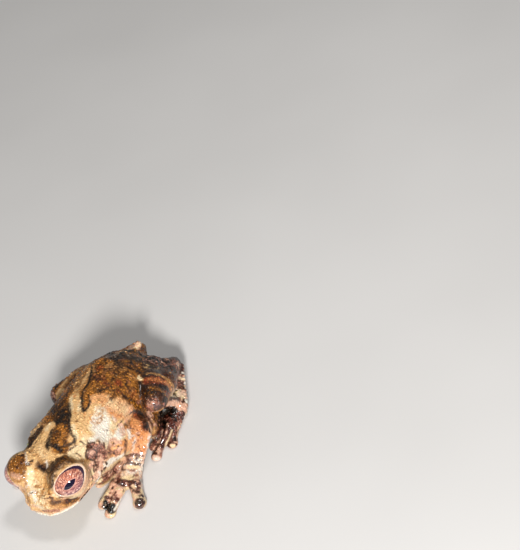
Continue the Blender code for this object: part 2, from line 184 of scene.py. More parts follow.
def loft(p: Array, stations: Sequence[Point], power: float) -> Array:
    """Body of rounded sections along X.

    Args:
        p: points.
        stations: x, half width, top, widest level and bottom of each section.
        power: roundness of the sections, 2 is an ellipse.

    Returns:
        Distance to the body at each point.
    """
    x = p[:, 0]
    width, top, belt, bottom = (profile(x, stations, i) for i in range(1, 5))
    dz = p[:, 2] - belt
    half = np.maximum(np.where(dz > 0, top - belt, belt - bottom), 0.05)
    width = np.maximum(width, 0.05)
    q = ((np.abs(p[:, 1]) / width) ** power + (np.abs(dz) / half) ** power) ** (1 / power)
    radius = np.sqrt(p[:, 1] ** 2 + dz ** 2)
    deep = -np.minimum(width, half)
    side = np.maximum(np.where(q > 1e-6, radius * (1 - 1 / np.maximum(q, 1e-6)), deep), deep)
    over = np.maximum(np.maximum(stations[0][0] - x, x - stations[-1][0]), 0)
    return np.where(over > 0, np.sqrt(np.maximum(side, 0) ** 2 + over ** 2), side)


def ball(p: Array, centre: Sequence[float], radius: float) -> Array:
    """Distance to a ball."""
    return np.linalg.norm(p - np.asarray(centre), axis=1) - radius


def ellipsoid(p: Array, centre: Sequence[float], radii: Sequence[float]) -> Array:
    """Distance to a ball squeezed along the axes.

    Args:
        p: points.
        centre: its middle.
        radii: half sizes along X, Y and Z.

    Returns:
        Distance at each point.
    """
    q = p - np.asarray(centre)
    radii = np.asarray(radii, float)
    k0 = np.linalg.norm(q / radii, axis=1)
    k1 = np.maximum(np.linalg.norm(q / radii ** 2, axis=1), 1e-9)
    return np.where(k0 > 1e-6, k0 * (k0 - 1) / k1, -radii.min())


def ring(p: Array, centre: Sequence[float], axis: Array, radius: float, thickness: float) -> Array:
    """Round bead bent into a circle about an axis.

    Args:
        p: points.
        centre: its middle.
        axis: unit vector through the hole.
        radius: of the middle line.
        thickness: radius of the bead.

    Returns:
        Distance at each point.
    """
    q = p - np.asarray(centre)
    along = q @ axis
    across = np.linalg.norm(q - along[:, None] * axis, axis=1)
    return np.hypot(across - radius, along) - thickness


def bone(p: Array, start: Sequence[float], end: Sequence[float], radii: Point) -> Array:
    """Tapered round-ended bar with a radius at each end.

    Args:
        p: points.
        start: middle of one end.
        end: middle of the other.
        radii: radius at each.

    Returns:
        Distance at each point.
    """
    start, end = np.asarray(start, float), np.asarray(end, float)
    line = end - start
    t = np.clip((p - start) @ line / max(line @ line, 1e-9), 0, 1)
    return np.linalg.norm(p - (start + t[:, None] * line), axis=1) - radii[0] - t * (radii[1] - radii[0])


def chain(p: Array, points: Sequence[Sequence[float]], radii: Point, soft: float) -> Array:
    """Bones end to end with softened bends."""
    bones = [bone(p, *pair) for pair in zip(points, points[1:], zip(radii, radii[1:]))]
    return merged(bones, soft)


def sheet(p: Array, corners: Sequence[Array], level: float, half: float) -> Array:
    """Flat three-cornered web.

    Args:
        p: points.
        corners: three corners.
        level: height of the middle.
        half: half thickness.

    Returns:
        Distance at each point.
    """
    a, b, c = (np.asarray(corner, float)[:2] for corner in corners)
    if (b[0] - a[0]) * (c[1] - a[1]) - (b[1] - a[1]) * (c[0] - a[0]) < 0:
        b, c = c, b
    outline = np.full(len(p), -np.inf)
    for start, end in ((a, b), (b, c), (c, a)):
        edge = unit(end - start)
        outline = np.maximum(outline, (p[:, 0] - start[0]) * edge[1] - (p[:, 1] - start[1]) * edge[0])
    return common(outline, np.abs(p[:, 2] - level) - half, 0.2)


def only_near(p: Array, corners: Sequence[Array], reach: float, shape: Callable[[Array], Array]) -> Array:
    """A field worked out only near some points, and large elsewhere.

    Args:
        p: points.
        corners: points that span the shape.
        reach: how far round them the shape is worked out.
        shape: the field.

    Returns:
        The field at each point.
    """
    corners = np.array(corners, float)
    near = np.all((p > corners.min(axis=0) - reach) & (p < corners.max(axis=0) + reach), axis=1)
    result = np.full(len(p), FAR)
    if near.any():
        result[near] = shape(p[near])
    return result


def along_line(points: Sequence[Sequence[float]], count: int) -> Array:
    """Evenly spaced places along a broken line.

    Args:
        points: corners of the line.
        count: how many places.

    Returns:
        The places, one a row.
    """
    points = np.array(points, float)
    ends = np.concatenate(([0.0], np.cumsum(np.linalg.norm(np.diff(points, axis=0), axis=1))))
    places = np.linspace(0, ends[-1], count)
    return np.stack([np.interp(places, ends, points[:, i]) for i in range(3)], axis=1)


# Repeatable noise

def lattice(cells: Array, seed: int) -> Array:
    """Repeatable number from 0 to 1 for each whole-numbered cell.

    Args:
        cells: whole numbers, three a row.
        seed: which numbers.

    Returns:
        The number of each cell.
    """
    mask = 0xFFFFFFFF
    n = (cells[..., 0] * 73856093) ^ (cells[..., 1] * 19349663) ^ (cells[..., 2] * 83492791)
    n = (n ^ (seed * 668265263)) & mask
    n = ((n ^ (n >> 13)) * 1274126177) & mask
    n = ((n ^ (n >> 16)) * 2246822519) & mask
    return ((n ^ (n >> 15)) & mask) / mask


def noise(p: Array, scale: float, seed: int, octaves: int = 2) -> Array:
    """Soft noise from 0 to 1.

    Args:
        p: points in millimetres.
        scale: size of the largest lumps.
        seed: which noise.
        octaves: how many finer copies are added.

    Returns:
        The noise at each point.
    """
    total, weight = np.zeros(len(p)), 0.0
    for octave in range(octaves):
        q = p / (scale * 0.5 ** octave) + 31.7 * octave
        low = np.floor(q).astype(np.int64)
        t = eased(q - low)
        value = np.zeros(len(p))
        for corner in np.ndindex(2, 2, 2):
            share = np.prod(np.where(np.array(corner) == 1, t, 1 - t), axis=1)
            value += share * lattice(low + np.array(corner), seed + octave)
        total += value * 0.5 ** octave
        weight += 0.5 ** octave
    return total / weight


def cells(p: Array, size: float, seed: int) -> tuple[Array, Array]:
    """Distances to the nearest and second nearest of scattered centres, in cell sizes.

    Args:
        p: points.
        size: of a cell.
        seed: which centres.

    Returns:
        The two distances.
    """
    q = p / size
    low = np.floor(q).astype(np.int64)
    first, second = np.full(len(p), 9.0), np.full(len(p), 9.0)
    for corner in np.ndindex(3, 3, 3):
        cell = low + np.array(corner) - 1
        centre = cell + np.stack([lattice(cell, seed + i) for i in range(3)], axis=1)
        away = np.linalg.norm(q - centre, axis=1)
        second = np.minimum(second, np.maximum(first, away))
        first = np.minimum(first, away)
    return first, second


# The animal

@dataclass(frozen=True)
class Spine:
    """Sideways bends of the body's middle line."""

    neck_shift: float = -0.65
    neck_span: Point = (-4.0, 9.0)
    rump_shift: float = -0.5
    rump_span: Point = (-10.5, -14.5)

    def offset(self, x: Array) -> Array:
        """Sideways place of the middle at each x."""
        return self.neck_shift * ramp(x, self.neck_span) + self.rump_shift * ramp(x, self.rump_span)

    def straighten(self, p: Array) -> Array:
        """Points with the bends taken out."""
        return p - self.offset(p[:, 0])[:, None] * (0, 1, 0)

    def bend(self, point: Sequence[float]) -> Array:
        """A point of the straight body, in its place on the bent one."""
        x, y, z = point
        return np.array((x, y + float(self.offset(np.array(x))), z))


@dataclass(frozen=True)
class Trunk:
    """Trunk from the vent to the shoulders, with the vent's knob and the folds of the flank."""

    sections: tuple[Point, ...] = (
        (-15.4, 0.4, 5.1, 4.6, 3.9), (-14.4, 0.9, 6.0, 4.5, 2.6), (-12.6, 2.4, 6.9, 4.4, 1.1),
        (-10.0, 4.5, 8.8, 4.2, 0.2), (-6.0, 5.9, 10.7, 4.0, -0.3), (-1.0, 6.1, 11.5, 4.2, -0.2),
        (2.5, 5.9, 11.5, 4.9, 0.6), (5.5, 5.2, 11.1, 5.5, 1.8), (8.0, 3.2, 9.8, 5.4, 3.2))
    power: float = 2.2
    vent: tuple[Point, ...] = ((-13.6, 0.1, 5.4), (-6.0, 0.0, 8.5))
    vent_radii: Point = (0.95, 2.6)
    knob: Point = (-13.5, 0.9, 7.0, 0.55)
    flank: tuple[Point, ...] = ((-7.2, 5.0, 2.6), (-2.8, 6.1, 2.2))
    flank_radii: Point = (1.2, 1.35)
    throat: tuple[Point, ...] = ((4.2, 4.1, 2.3), (6.6, 3.9, 2.4))
    throat_radii: Point = (1.0, 0.95)

    def field(self, q: Array) -> Array:
        """Distance to the trunk from points of the straight body.

        Args:
            q: points of the straight body.

        Returns:
            Distance at each point.
        """
        body = joined(loft(q, self.sections, self.power), chain(q, self.vent, self.vent_radii, 0.5), 1.0)
        folded = q * np.where(q < 0, (1, -1, 1), 1)
        body = joined(body, chain(folded, self.flank, self.flank_radii, 0.5), 1.2)
        body = joined(body, chain(folded, self.throat, self.throat_radii, 0.5), 0.8)
        return joined(body, ball(q, self.knob[:3], self.knob[3]), 0.5)


@dataclass(frozen=True)
class Head:
    """Skull with lids, brow folds, lips, nostrils and eardrums."""

    sections: tuple[Point, ...] = (
        (3.0, 4.4, 9.8, 5.8, 3.0), (5.5, 5.4, 10.8, 6.0, 2.2), (8.0, 5.1, 10.5, 5.5, 2.1),
        (10.5, 4.55, 9.6, 5.1, 2.3), (12.5, 4.0, 8.4, 5.1, 2.7), (14.0, 2.8, 7.3, 5.0, 3.2),
        (14.9, 1.6, 6.3, 4.9, 3.8))
    power: float = 2.7
    eye: Point = (11.0, 3.6, 8.1)
    right_eye_set: Point = (0.0, 0.0, -0.35)
    left_axis: Point = (0.62, 0.63, 0.47)
    right_axis: Point = (0.48, -0.87, 0.0)
    eye_out: float = -0.1
    bulge_radius: float = 2.6
    ball_radius: float = 2.6
    cornea: float = 0.4                    # how far the cornea stands over the ball
    opening: Point = (2.32, 1.52)          # half length and half height between the lids
    opening_rise: float = 0.1              # how far the opening lies over the eye's axis
    rim_thickness: Point = (0.13, 0.17)    # lower and upper lid
    mouth_level: Point = (4.4, 0.35)      # height at the front, and its drop towards the corner
    mouth_corner: float = 5.9
    mouth_groove: Point = (0.42, 0.2)
    jaw_inset: float = 0.3
    lip_swell: float = 0.15
    nostril: Point = (13.9, 1.05, 0.26)
    eardrum: Point = (6.7, 8.0, 0.66)
    brow: tuple[Point, ...] = ((8.7, 9.2), (7.2, 9.35), (5.8, 8.7), (5.0, 7.4))

    @property
    def span(self) -> tuple[Array, Array]:
        """Opposite corners of the head."""
        return np.array((2.5, -6.5, 2.0)), np.array((15.2, 6.5, 11.5))

    def half_width(self, x: float, z: float) -> float:
        """Half width of the skull at a height.

        Args:
            x: place along the head.
            z: height.

        Returns:
            The half width.
        """
        width, top, belt, bottom = (profile(np.array([x]), self.sections, i)[0] for i in range(1, 5))
        half = top - belt if z > belt else belt - bottom
        return width * max(1 - (abs(z - belt) / half) ** self.power, 0.0) ** (1 / self.power)

    def height(self, x: float, y: float) -> float:
        """Height of the skull's upper side at a distance from its middle."""
        width, top, belt = (profile(np.array([x]), self.sections, i)[0] for i in range(1, 4))
        return belt + (top - belt) * max(1 - (abs(y) / width) ** self.power, 0.0) ** (1 / self.power)

    def eye_centre(self, side: Side) -> Array:
        """Centre of the bulge over one eye, in the straight body."""
        centre = side.mirror(self.eye)
        return centre + np.array(self.right_eye_set) if side is Side.RIGHT else centre

    def eye_axis(self, side: Side) -> Array:
        """Direction that one eye faces."""
        return unit(self.left_axis if side is Side.LEFT else self.right_axis)

    def eye_frame(self, side: Side) -> tuple[Array, Array, Array]:
        """Forward, upward and outward directions of one eye's opening.

        Args:
            side: the eye's side.

        Returns:
            Three unit vectors.
        """
        axis = self.eye_axis(side)
        ahead = np.array((0.80, -0.53 * side.value, -0.34))
        ahead = unit(ahead - axis * (axis @ ahead))
        return ahead, -side.value * np.cross(axis, ahead), axis

    def opening_parts(self, q: Array, side: Side) -> tuple[Array, Array, Array]:
        """Points seen along the eye's axis: share of the opening's size, upward share and depth.

        Args:
            q: points of the straight body.
            side: the eye's side.

        Returns:
            The three values at each point.
        """
        ahead, upward, axis = self.eye_frame(side)
        off = q - (self.eye_centre(side) + axis * self.eye_out)
        u, v = off @ ahead, off @ upward - self.opening_rise
        share = np.hypot(u / self.opening[0], v / self.opening[1])
        return share, v / np.maximum(np.hypot(u, v), 1e-6), off @ axis

    def rims(self, q: Array, side: Side) -> Array:
        """Distance to the rim of the lids, which lies on the eyeball.

        Args:
            q: points of the straight body.
            side: the eye's side.

        Returns:
            Distance at each point.
        """
        share, up, along = self.opening_parts(q, side)
        mean = sum(self.opening) / 2
        thin, thick = self.rim_thickness
        thickness = thin + (thick - thin) * (0.5 + 0.5 * up) ** 2
        reach = np.minimum(self.reach(q, side), self.ball_radius * 0.95)
        reach = 0.5 * (reach + mean) if side is Side.LEFT else reach
        level = np.sqrt(self.ball_radius ** 2 - reach ** 2)
        return np.hypot((share - 1.0) * mean - thickness * 0.8, along - level + 0.05) - thickness

    def reach(self, q: Array, side: Side) -> Array:
        """Distance of each point from one eye's axis.

        Args:
            q: points of the straight body.
            side: the eye's side.

        Returns:
            The distances.
        """
        axis = self.eye_axis(side)
        off = q - (self.eye_centre(side) + axis * self.eye_out)
        return np.linalg.norm(off - (off @ axis)[:, None] * axis, axis=1)

    def gape(self, q: Array) -> Array:
        """Height over the line of the mouth."""
        return q[:, 2] - self.mouth_level[0] + self.mouth_level[1] * eased((9.0 - q[:, 0]) / 3.2)

    def field(self, q: Array) -> Array:
        """Distance to the head from points of the straight body.

        Args:
            q: points of the straight body.

        Returns:
            Distance at each point.
        """
        gape, front = self.gape(q), eased((q[:, 0] - self.mouth_corner) / 1.2)
        depth, half = self.mouth_groove
        body = loft(q, self.sections, self.power) + front * (
            depth * np.exp(-(gape / half) ** 2) + self.jaw_inset * eased(-gape / 0.8)
            - self.lip_swell * np.exp(-((gape - 0.55) / 0.4) ** 2))
        for side in Side:
            body = joined(body, ball(q, self.eye_centre(side), self.bulge_radius), 1.1)
            brow = [(x, side.value * (self.half_width(x, z) - 0.05), z) for x, z in self.brow]
            body = joined(body, chain(q, brow, (0.35, 0.42, 0.38, 0.2), 0.3), 0.6)
            x, z, radius = self.eardrum
            drum = side.mirror((x, self.half_width(x, z), z))
            body = joined(body, ring(q, drum, unit((0.1, side.value * 0.85, 0.5)), radius, 0.13), 0.2)
            top = self.height(14.0, 1.2)
            body = joined(body, chain(q, ((12.9, side.value * 2.7, 8.2), (14.0, side.value * 1.2, top)),
                                      (0.4, 0.3), 0.3), 0.7)
            x, y, radius = self.nostril
            hole = side.mirror((x, y, self.height(x, y) + 0.12))
            body = joined(body, ball(q, hole - np.array((0, 0, 0.3)), 0.45), 0.4)
            body = common(body, -ball(q, hole, radius), 0.15)
        return body

    def opened(self, q: Array, body: Array) -> Array:
        """The body's field with the eyes' openings cut and rimmed.

        Args:
            q: points of the straight body.
            body: distance to the body.

        Returns:
            The new distance.
        """
        body = body.copy()
        mean = sum(self.opening) / 2
        for side in Side:
            near = np.linalg.norm(q - self.eye_centre(side), axis=1) < 4.0
            close = q[near]
            share, _, along = self.opening_parts(close, side)
            pit = common((share - 0.99) * mean, 0.6 - along, 0.1)
            body[near] = joined(common(body[near], -pit, 0.12), self.rims(close, side), 0.12)
        return body


@dataclass(frozen=True)
class Arm:
    """One arm from the shoulder to the finger discs."""

    side: Side
    shoulder: Point
    elbow: Point
    wrist: Point
    upper_radii: Point = (1.95, 1.6)
    fore_radii: Point = (1.6, 1.5, 1.35)
    palm: Point = (1.3, 0.2, -0.45)
    palm_radii: Point = (1.8, 1.9, 0.85)
    flap: float = 0.15                     # how far the fringe's middle line lies outside the forearm
    fringe_count: int = 7
    fringe_radius: float = 0.46
    # Fingers: tip from the wrist, knuckle height, radius at the base and at the tip, disc radius
    fingers: tuple[Point, ...] = (
        (3.1, -3.8, 0.9, 0.65, 0.55, 0.68), (6.2, -1.5, 1.0, 0.80, 0.62, 0.78),
        (7.3, 0.2, 1.0, 0.80, 0.62, 0.82), (4.9, 3.6, 1.0, 0.95, 0.80, 0.98))

    @property
    def joints(self) -> tuple[Array, Array, Array]:
        """Shoulder, elbow and wrist."""
        return np.array(self.shoulder), np.array(self.elbow), np.array(self.wrist)

    def tips(self) -> list[Array]:
        """Centres of the finger discs.

        Returns:
            The centres.
        """
        tips = []
        for x, y, _, _, _, disc in self.fingers:
            tip = np.array(self.wrist) + self.side.mirror((x, y, 0))
            tip[2] = disc * 0.5
            tips.append(tip)
        return tips

    def upper(self, p: Array) -> Array:
        """Distance to the upper arm."""
        return bone(p, self.shoulder, self.elbow, self.upper_radii)

    def fore(self, p: Array) -> Array:
        """Distance to the forearm with its fringe.

        Args:
            p: points.

        Returns:
            Distance at each point.
        """
        _, elbow, wrist = self.joints
        body = chain(p, (elbow, elbow * 0.45 + wrist * 0.55, wrist), self.fore_radii, 0.5)
        radii = (self.fore_radii[1] + self.flap, self.fore_radii[2] + self.flap)
        edge = edge_line((elbow + (wrist - elbow) * 0.1, wrist), radii, self.side, 0.1)
        body = joined(body, chain(p, edge, (0.4, 0.4), 0.3), 0.5)
        line = along_line(edge, self.fringe_count)
        return merged([body] + [ball(p, centre, self.fringe_radius) for centre in line], 0.12)

    def hand(self, p: Array) -> Array:
        """Distance to the hand.

        Args:
            p: points.

        Returns:
            Distance at each point.
        """
        wrist = np.array(self.wrist)
        body = ellipsoid(p, wrist + self.side.mirror(self.palm), self.palm_radii)
        tips = self.tips()
        for tip, (_, _, knuckle, base_radius, tip_radius, disc) in zip(tips, self.fingers):
            base = wrist + (tip - wrist) * 0.12
            base[2] = 0.95
            body = joined(body, digit(p, base, tip, knuckle, (base_radius, tip_radius), disc), 0.5)
        return webbed(p, body, wrist + self.side.mirror((0.9, 0.1, 0)), tips, 0.45)


@dataclass(frozen=True)
class Leg:
    """One folded leg from the hip to the toe discs."""

    side: Side
    hip: Point
    knee: Point
    heel: Point
    instep: Point
    thigh_radii: Point = (2.6, 2.3, 1.7)
    shank_radii: Point = (1.5, 1.75, 1.05)
    tarsus_radii: Point = (1.15, 1.25)
    toes: tuple[Point, ...] = ((-4.9, 5.9), (-3.1, 6.4), (-1.3, 7.0), (0.2, 8.1), (-2.3, 9.4))
    toe_radii: Point = (0.72, 0.52)
    toe_disc: float = 0.8
    knuckle: float = 0.95
    fringe_count: int = 17
    fringe_radius: float = 0.36

    @property
    def joints(self) -> tuple[Array, Array, Array, Array]:
        """Hip, knee, heel and instep."""
        return np.array(self.hip), np.array(self.knee), np.array(self.heel), np.array(self.instep)

    def tips(self) -> list[Array]:
        """Centres of the toe discs."""
        return [self.side.mirror((x, y, self.toe_disc * 0.5)) for x, y in self.toes]

    def thigh(self, p: Array) -> Array:
        """Distance to the thigh."""
        hip, knee, _, _ = self.joints
        return chain(p, (hip, hip * 0.4 + knee * 0.6, knee), self.thigh_radii, 0.8)

    def shank(self, p: Array) -> Array:
        """Distance to the shank."""
        _, knee, heel, _ = self.joints
        return chain(p, (knee, knee * 0.55 + heel * 0.45, heel), self.shank_radii, 0.6)

    def folds(self, p: Array) -> Array:
        """Distance to the soft folds between hip and heel and between knee and foot.

        Args:
            p: points.

        Returns:
            Distance at each point.
        """
        hip, knee, heel, instep = self.joints
        move = self.side.mirror
        rear = bone(p, hip + move((-1.4, 0.6, 0.5)), heel + move((0.6, -0.1, 0.6)), (1.0, 0.9))
        inner = bone(p, knee + move((-1.2, -0.3, -1.9)), instep + move((0.0, -0.7, 1.35)), (0.95, 0.95))
        return np.minimum(rear, inner)

    def foot(self, p: Array) -> Array:
        """Distance to the foot with its fringe.

        Args:
            p: points.

        Returns:
            Distance at each point.
        """
        _, _, heel, instep = self.joints
        start = heel + np.array((0.1, 0, -0.9))
        body = chain(p, (start, instep), self.tarsus_radii, 0.5)
        base = instep * np.array((1, 1, 0.9))
        tips = self.tips()
        for tip in tips:
            body = joined(body, digit(p, base, tip, self.knuckle, self.toe_radii, self.toe_disc), 0.4)
        body = webbed(p, body, base - (tips[2] - base) * 0.1, tips, 0.62)
        edge = edge_line((start, instep), (self.tarsus_radii[0] - 0.05, self.tarsus_radii[1] - 0.1),
                         self.side, 0.35)
        outer = edge[-1] + (tips[-1] - edge[-1]) * 0.55
        outer[2] = self.knuckle
        line = along_line(edge + [outer], self.fringe_count)
        return merged([body] + [ball(p, centre, self.fringe_radius) for centre in line], 0.1)


def digit(p: Array, base: Array, tip: Array, knuckle: float, radii: Point, disc: float) -> Array:
    """Arched digit ending in a flattened disc.

    Args:
        p: points.
        base: where the digit leaves the palm or sole.
        tip: centre of the disc.
        knuckle: height of the arch.
        radii: radius at the base and at the tip.
        disc: radius of the disc.

    Returns:
        Distance to the digit at each point.
    """
    middle = (base + tip) / 2
    middle[2] = knuckle
    bar = chain(p, (base, middle, tip), (radii[0], sum(radii) / 2, radii[1]), 0.3)
    return joined(bar, ellipsoid(p, tip, (disc, disc, disc * 0.62)), 0.25)


def webbed(p: Array, body: Array, base: Array, tips: Sequence[Array], reach: float) -> Array:
    """Adds a web between each two neighbouring digits.

    Args:
        p: points.
        body: distance to the hand or foot.
        base: where the digits meet.
        tips: ends of the digits.
        reach: share of the digits that the web reaches.

    Returns:
        The new distance.
    """
    for tip, following in zip(tips, tips[1:]):
        corners = (base, base + reach * (tip - base), base + reach * (following - base))
        body = joined(body, sheet(p, corners, 0.55, 0.27), 0.2)
    return body


def edge_line(points: Sequence[Array], radii: Point, side: Side, lift: float) -> list[Array]:
    """Line along the outer side of a limb.

    Args:
        points: middle line.
        radii: distance from it at each point.
        side: which limb.
        lift: how much the line is turned upward.

    Returns:
        The line's points.
    """
    points = np.array(points, float)
    outward = unit(np.cross((0, 0, 1), unit(points[-1] - points[0])))
    outward = outward if outward[1] * side.value > 0 else -outward
    outward = unit(outward + np.array((0, 0, lift)))
    return [point + outward * radius for point, radius in zip(points, radii)]


@dataclass(frozen=True)
class Frog:
    """The whole animal, resting with its limbs folded."""

    spine: Spine = Spine()
    trunk: Trunk = Trunk()
    head: Head = Head()
    arms: tuple[Arm, ...] = (
        Arm(Side.LEFT, (2.8, 4.7, 5.3), (-0.9, 6.2, 4.3), (3.1, 5.8, 1.4)),
        Arm(Side.RIGHT, (3.4, -5.1, 5.8), (-0.6, -7.0, 4.3), (3.6, -6.6, 1.4)))
    legs: tuple[Leg, ...] = (
        Leg(Side.LEFT, (-10.6, 2.6, 4.4), (-4.7, 7.5, 6.5), (-14.1, 4.7, 2.9), (-7.6, 8.2, 1.25)),
        Leg(Side.RIGHT, (-10.6, -2.6, 4.4), (-3.8, -7.7, 5.5), (-13.9, -5.2, 2.6), (-7.6, -8.2, 1.25)))

    def parts(self, p: Array) -> Fields:
        """Each body part's own distance field.

        Args:
            p: points.

        Returns:
            The fields by the parts' names.
        """
        q = self.spine.straighten(p)
        fields = {"torso": self.trunk.field(q),
                  "head": only_near(q, self.head.span, 2.0, self.head.field)}
        for arm in self.arms:
            shoulder, elbow, wrist = arm.joints
            word = arm.side.word
            fields["upper_arm_" + word] = only_near(p, (shoulder, elbow), 3.6, arm.upper)
            fields["forearm_" + word] = only_near(p, (elbow, wrist), 3.4, arm.fore)
            fields["hand_" + word] = only_near(p, [wrist] + arm.tips(), 3.2, arm.hand)
        for leg in self.legs:
            hip, knee, heel, instep = leg.joints
            word = leg.side.word
            fields["thigh_" + word] = only_near(p, (hip, knee), 4.0, leg.thigh)
            fields["shank_" + word] = only_near(p, (knee, heel), 3.4, leg.shank)
            fields["folds_" + word] = only_near(p, (hip, knee, heel, instep), 2.6, leg.folds)
            fields["foot_" + word] = only_near(p, [heel, instep] + leg.tips(), 2.6, leg.foot)
        return fields

    def field(self, p: Array) -> Array:
        """The whole animal, with soft passages from part to part, open eyes and a flat underside.

        Args:
            p: points.

        Returns:
            Distance at each point.
        """
        fields = self.parts(p)
        body = joined(fields["torso"], fields["head"], 2.0)
        for side in Side:
            upper, fore, hand, thigh, shank, foot, folds = (
                fields[part + "_" + side.word]
                for part in ("upper_arm", "forearm", "hand", "thigh", "shank", "foot", "folds"))
            arm = joined(joined(upper, fore, 0.7), hand, 0.6)
            leg = joined(joined(joined(thigh, shank, 0.35), folds, 0.6), foot, 0.3)
            body = joined(joined(body, arm, 0.7), leg, 0.5)
        body = self.head.opened(self.spine.straighten(p), body)
        return common(body, -p[:, 2], 0.12)


# Markings

class Weave(Enum):
    """How a stroke covers the skin."""

    SOLID = 0
    SPOTS = 1
    LINES = 2


@dataclass(frozen=True)
class Mark:
    """A painted stroke: a chain of balls through points on the skin, in one ink."""

    ink: Ink
    radius: float
    points: tuple[Point, ...]
    part: str = "body"
    strength: float = 1.0
    soft: float = 0.1
    twin: bool = True
    weave: Weave = Weave.SOLID
    cover: float = 0.4                     # share of the skin that spots or lines cover


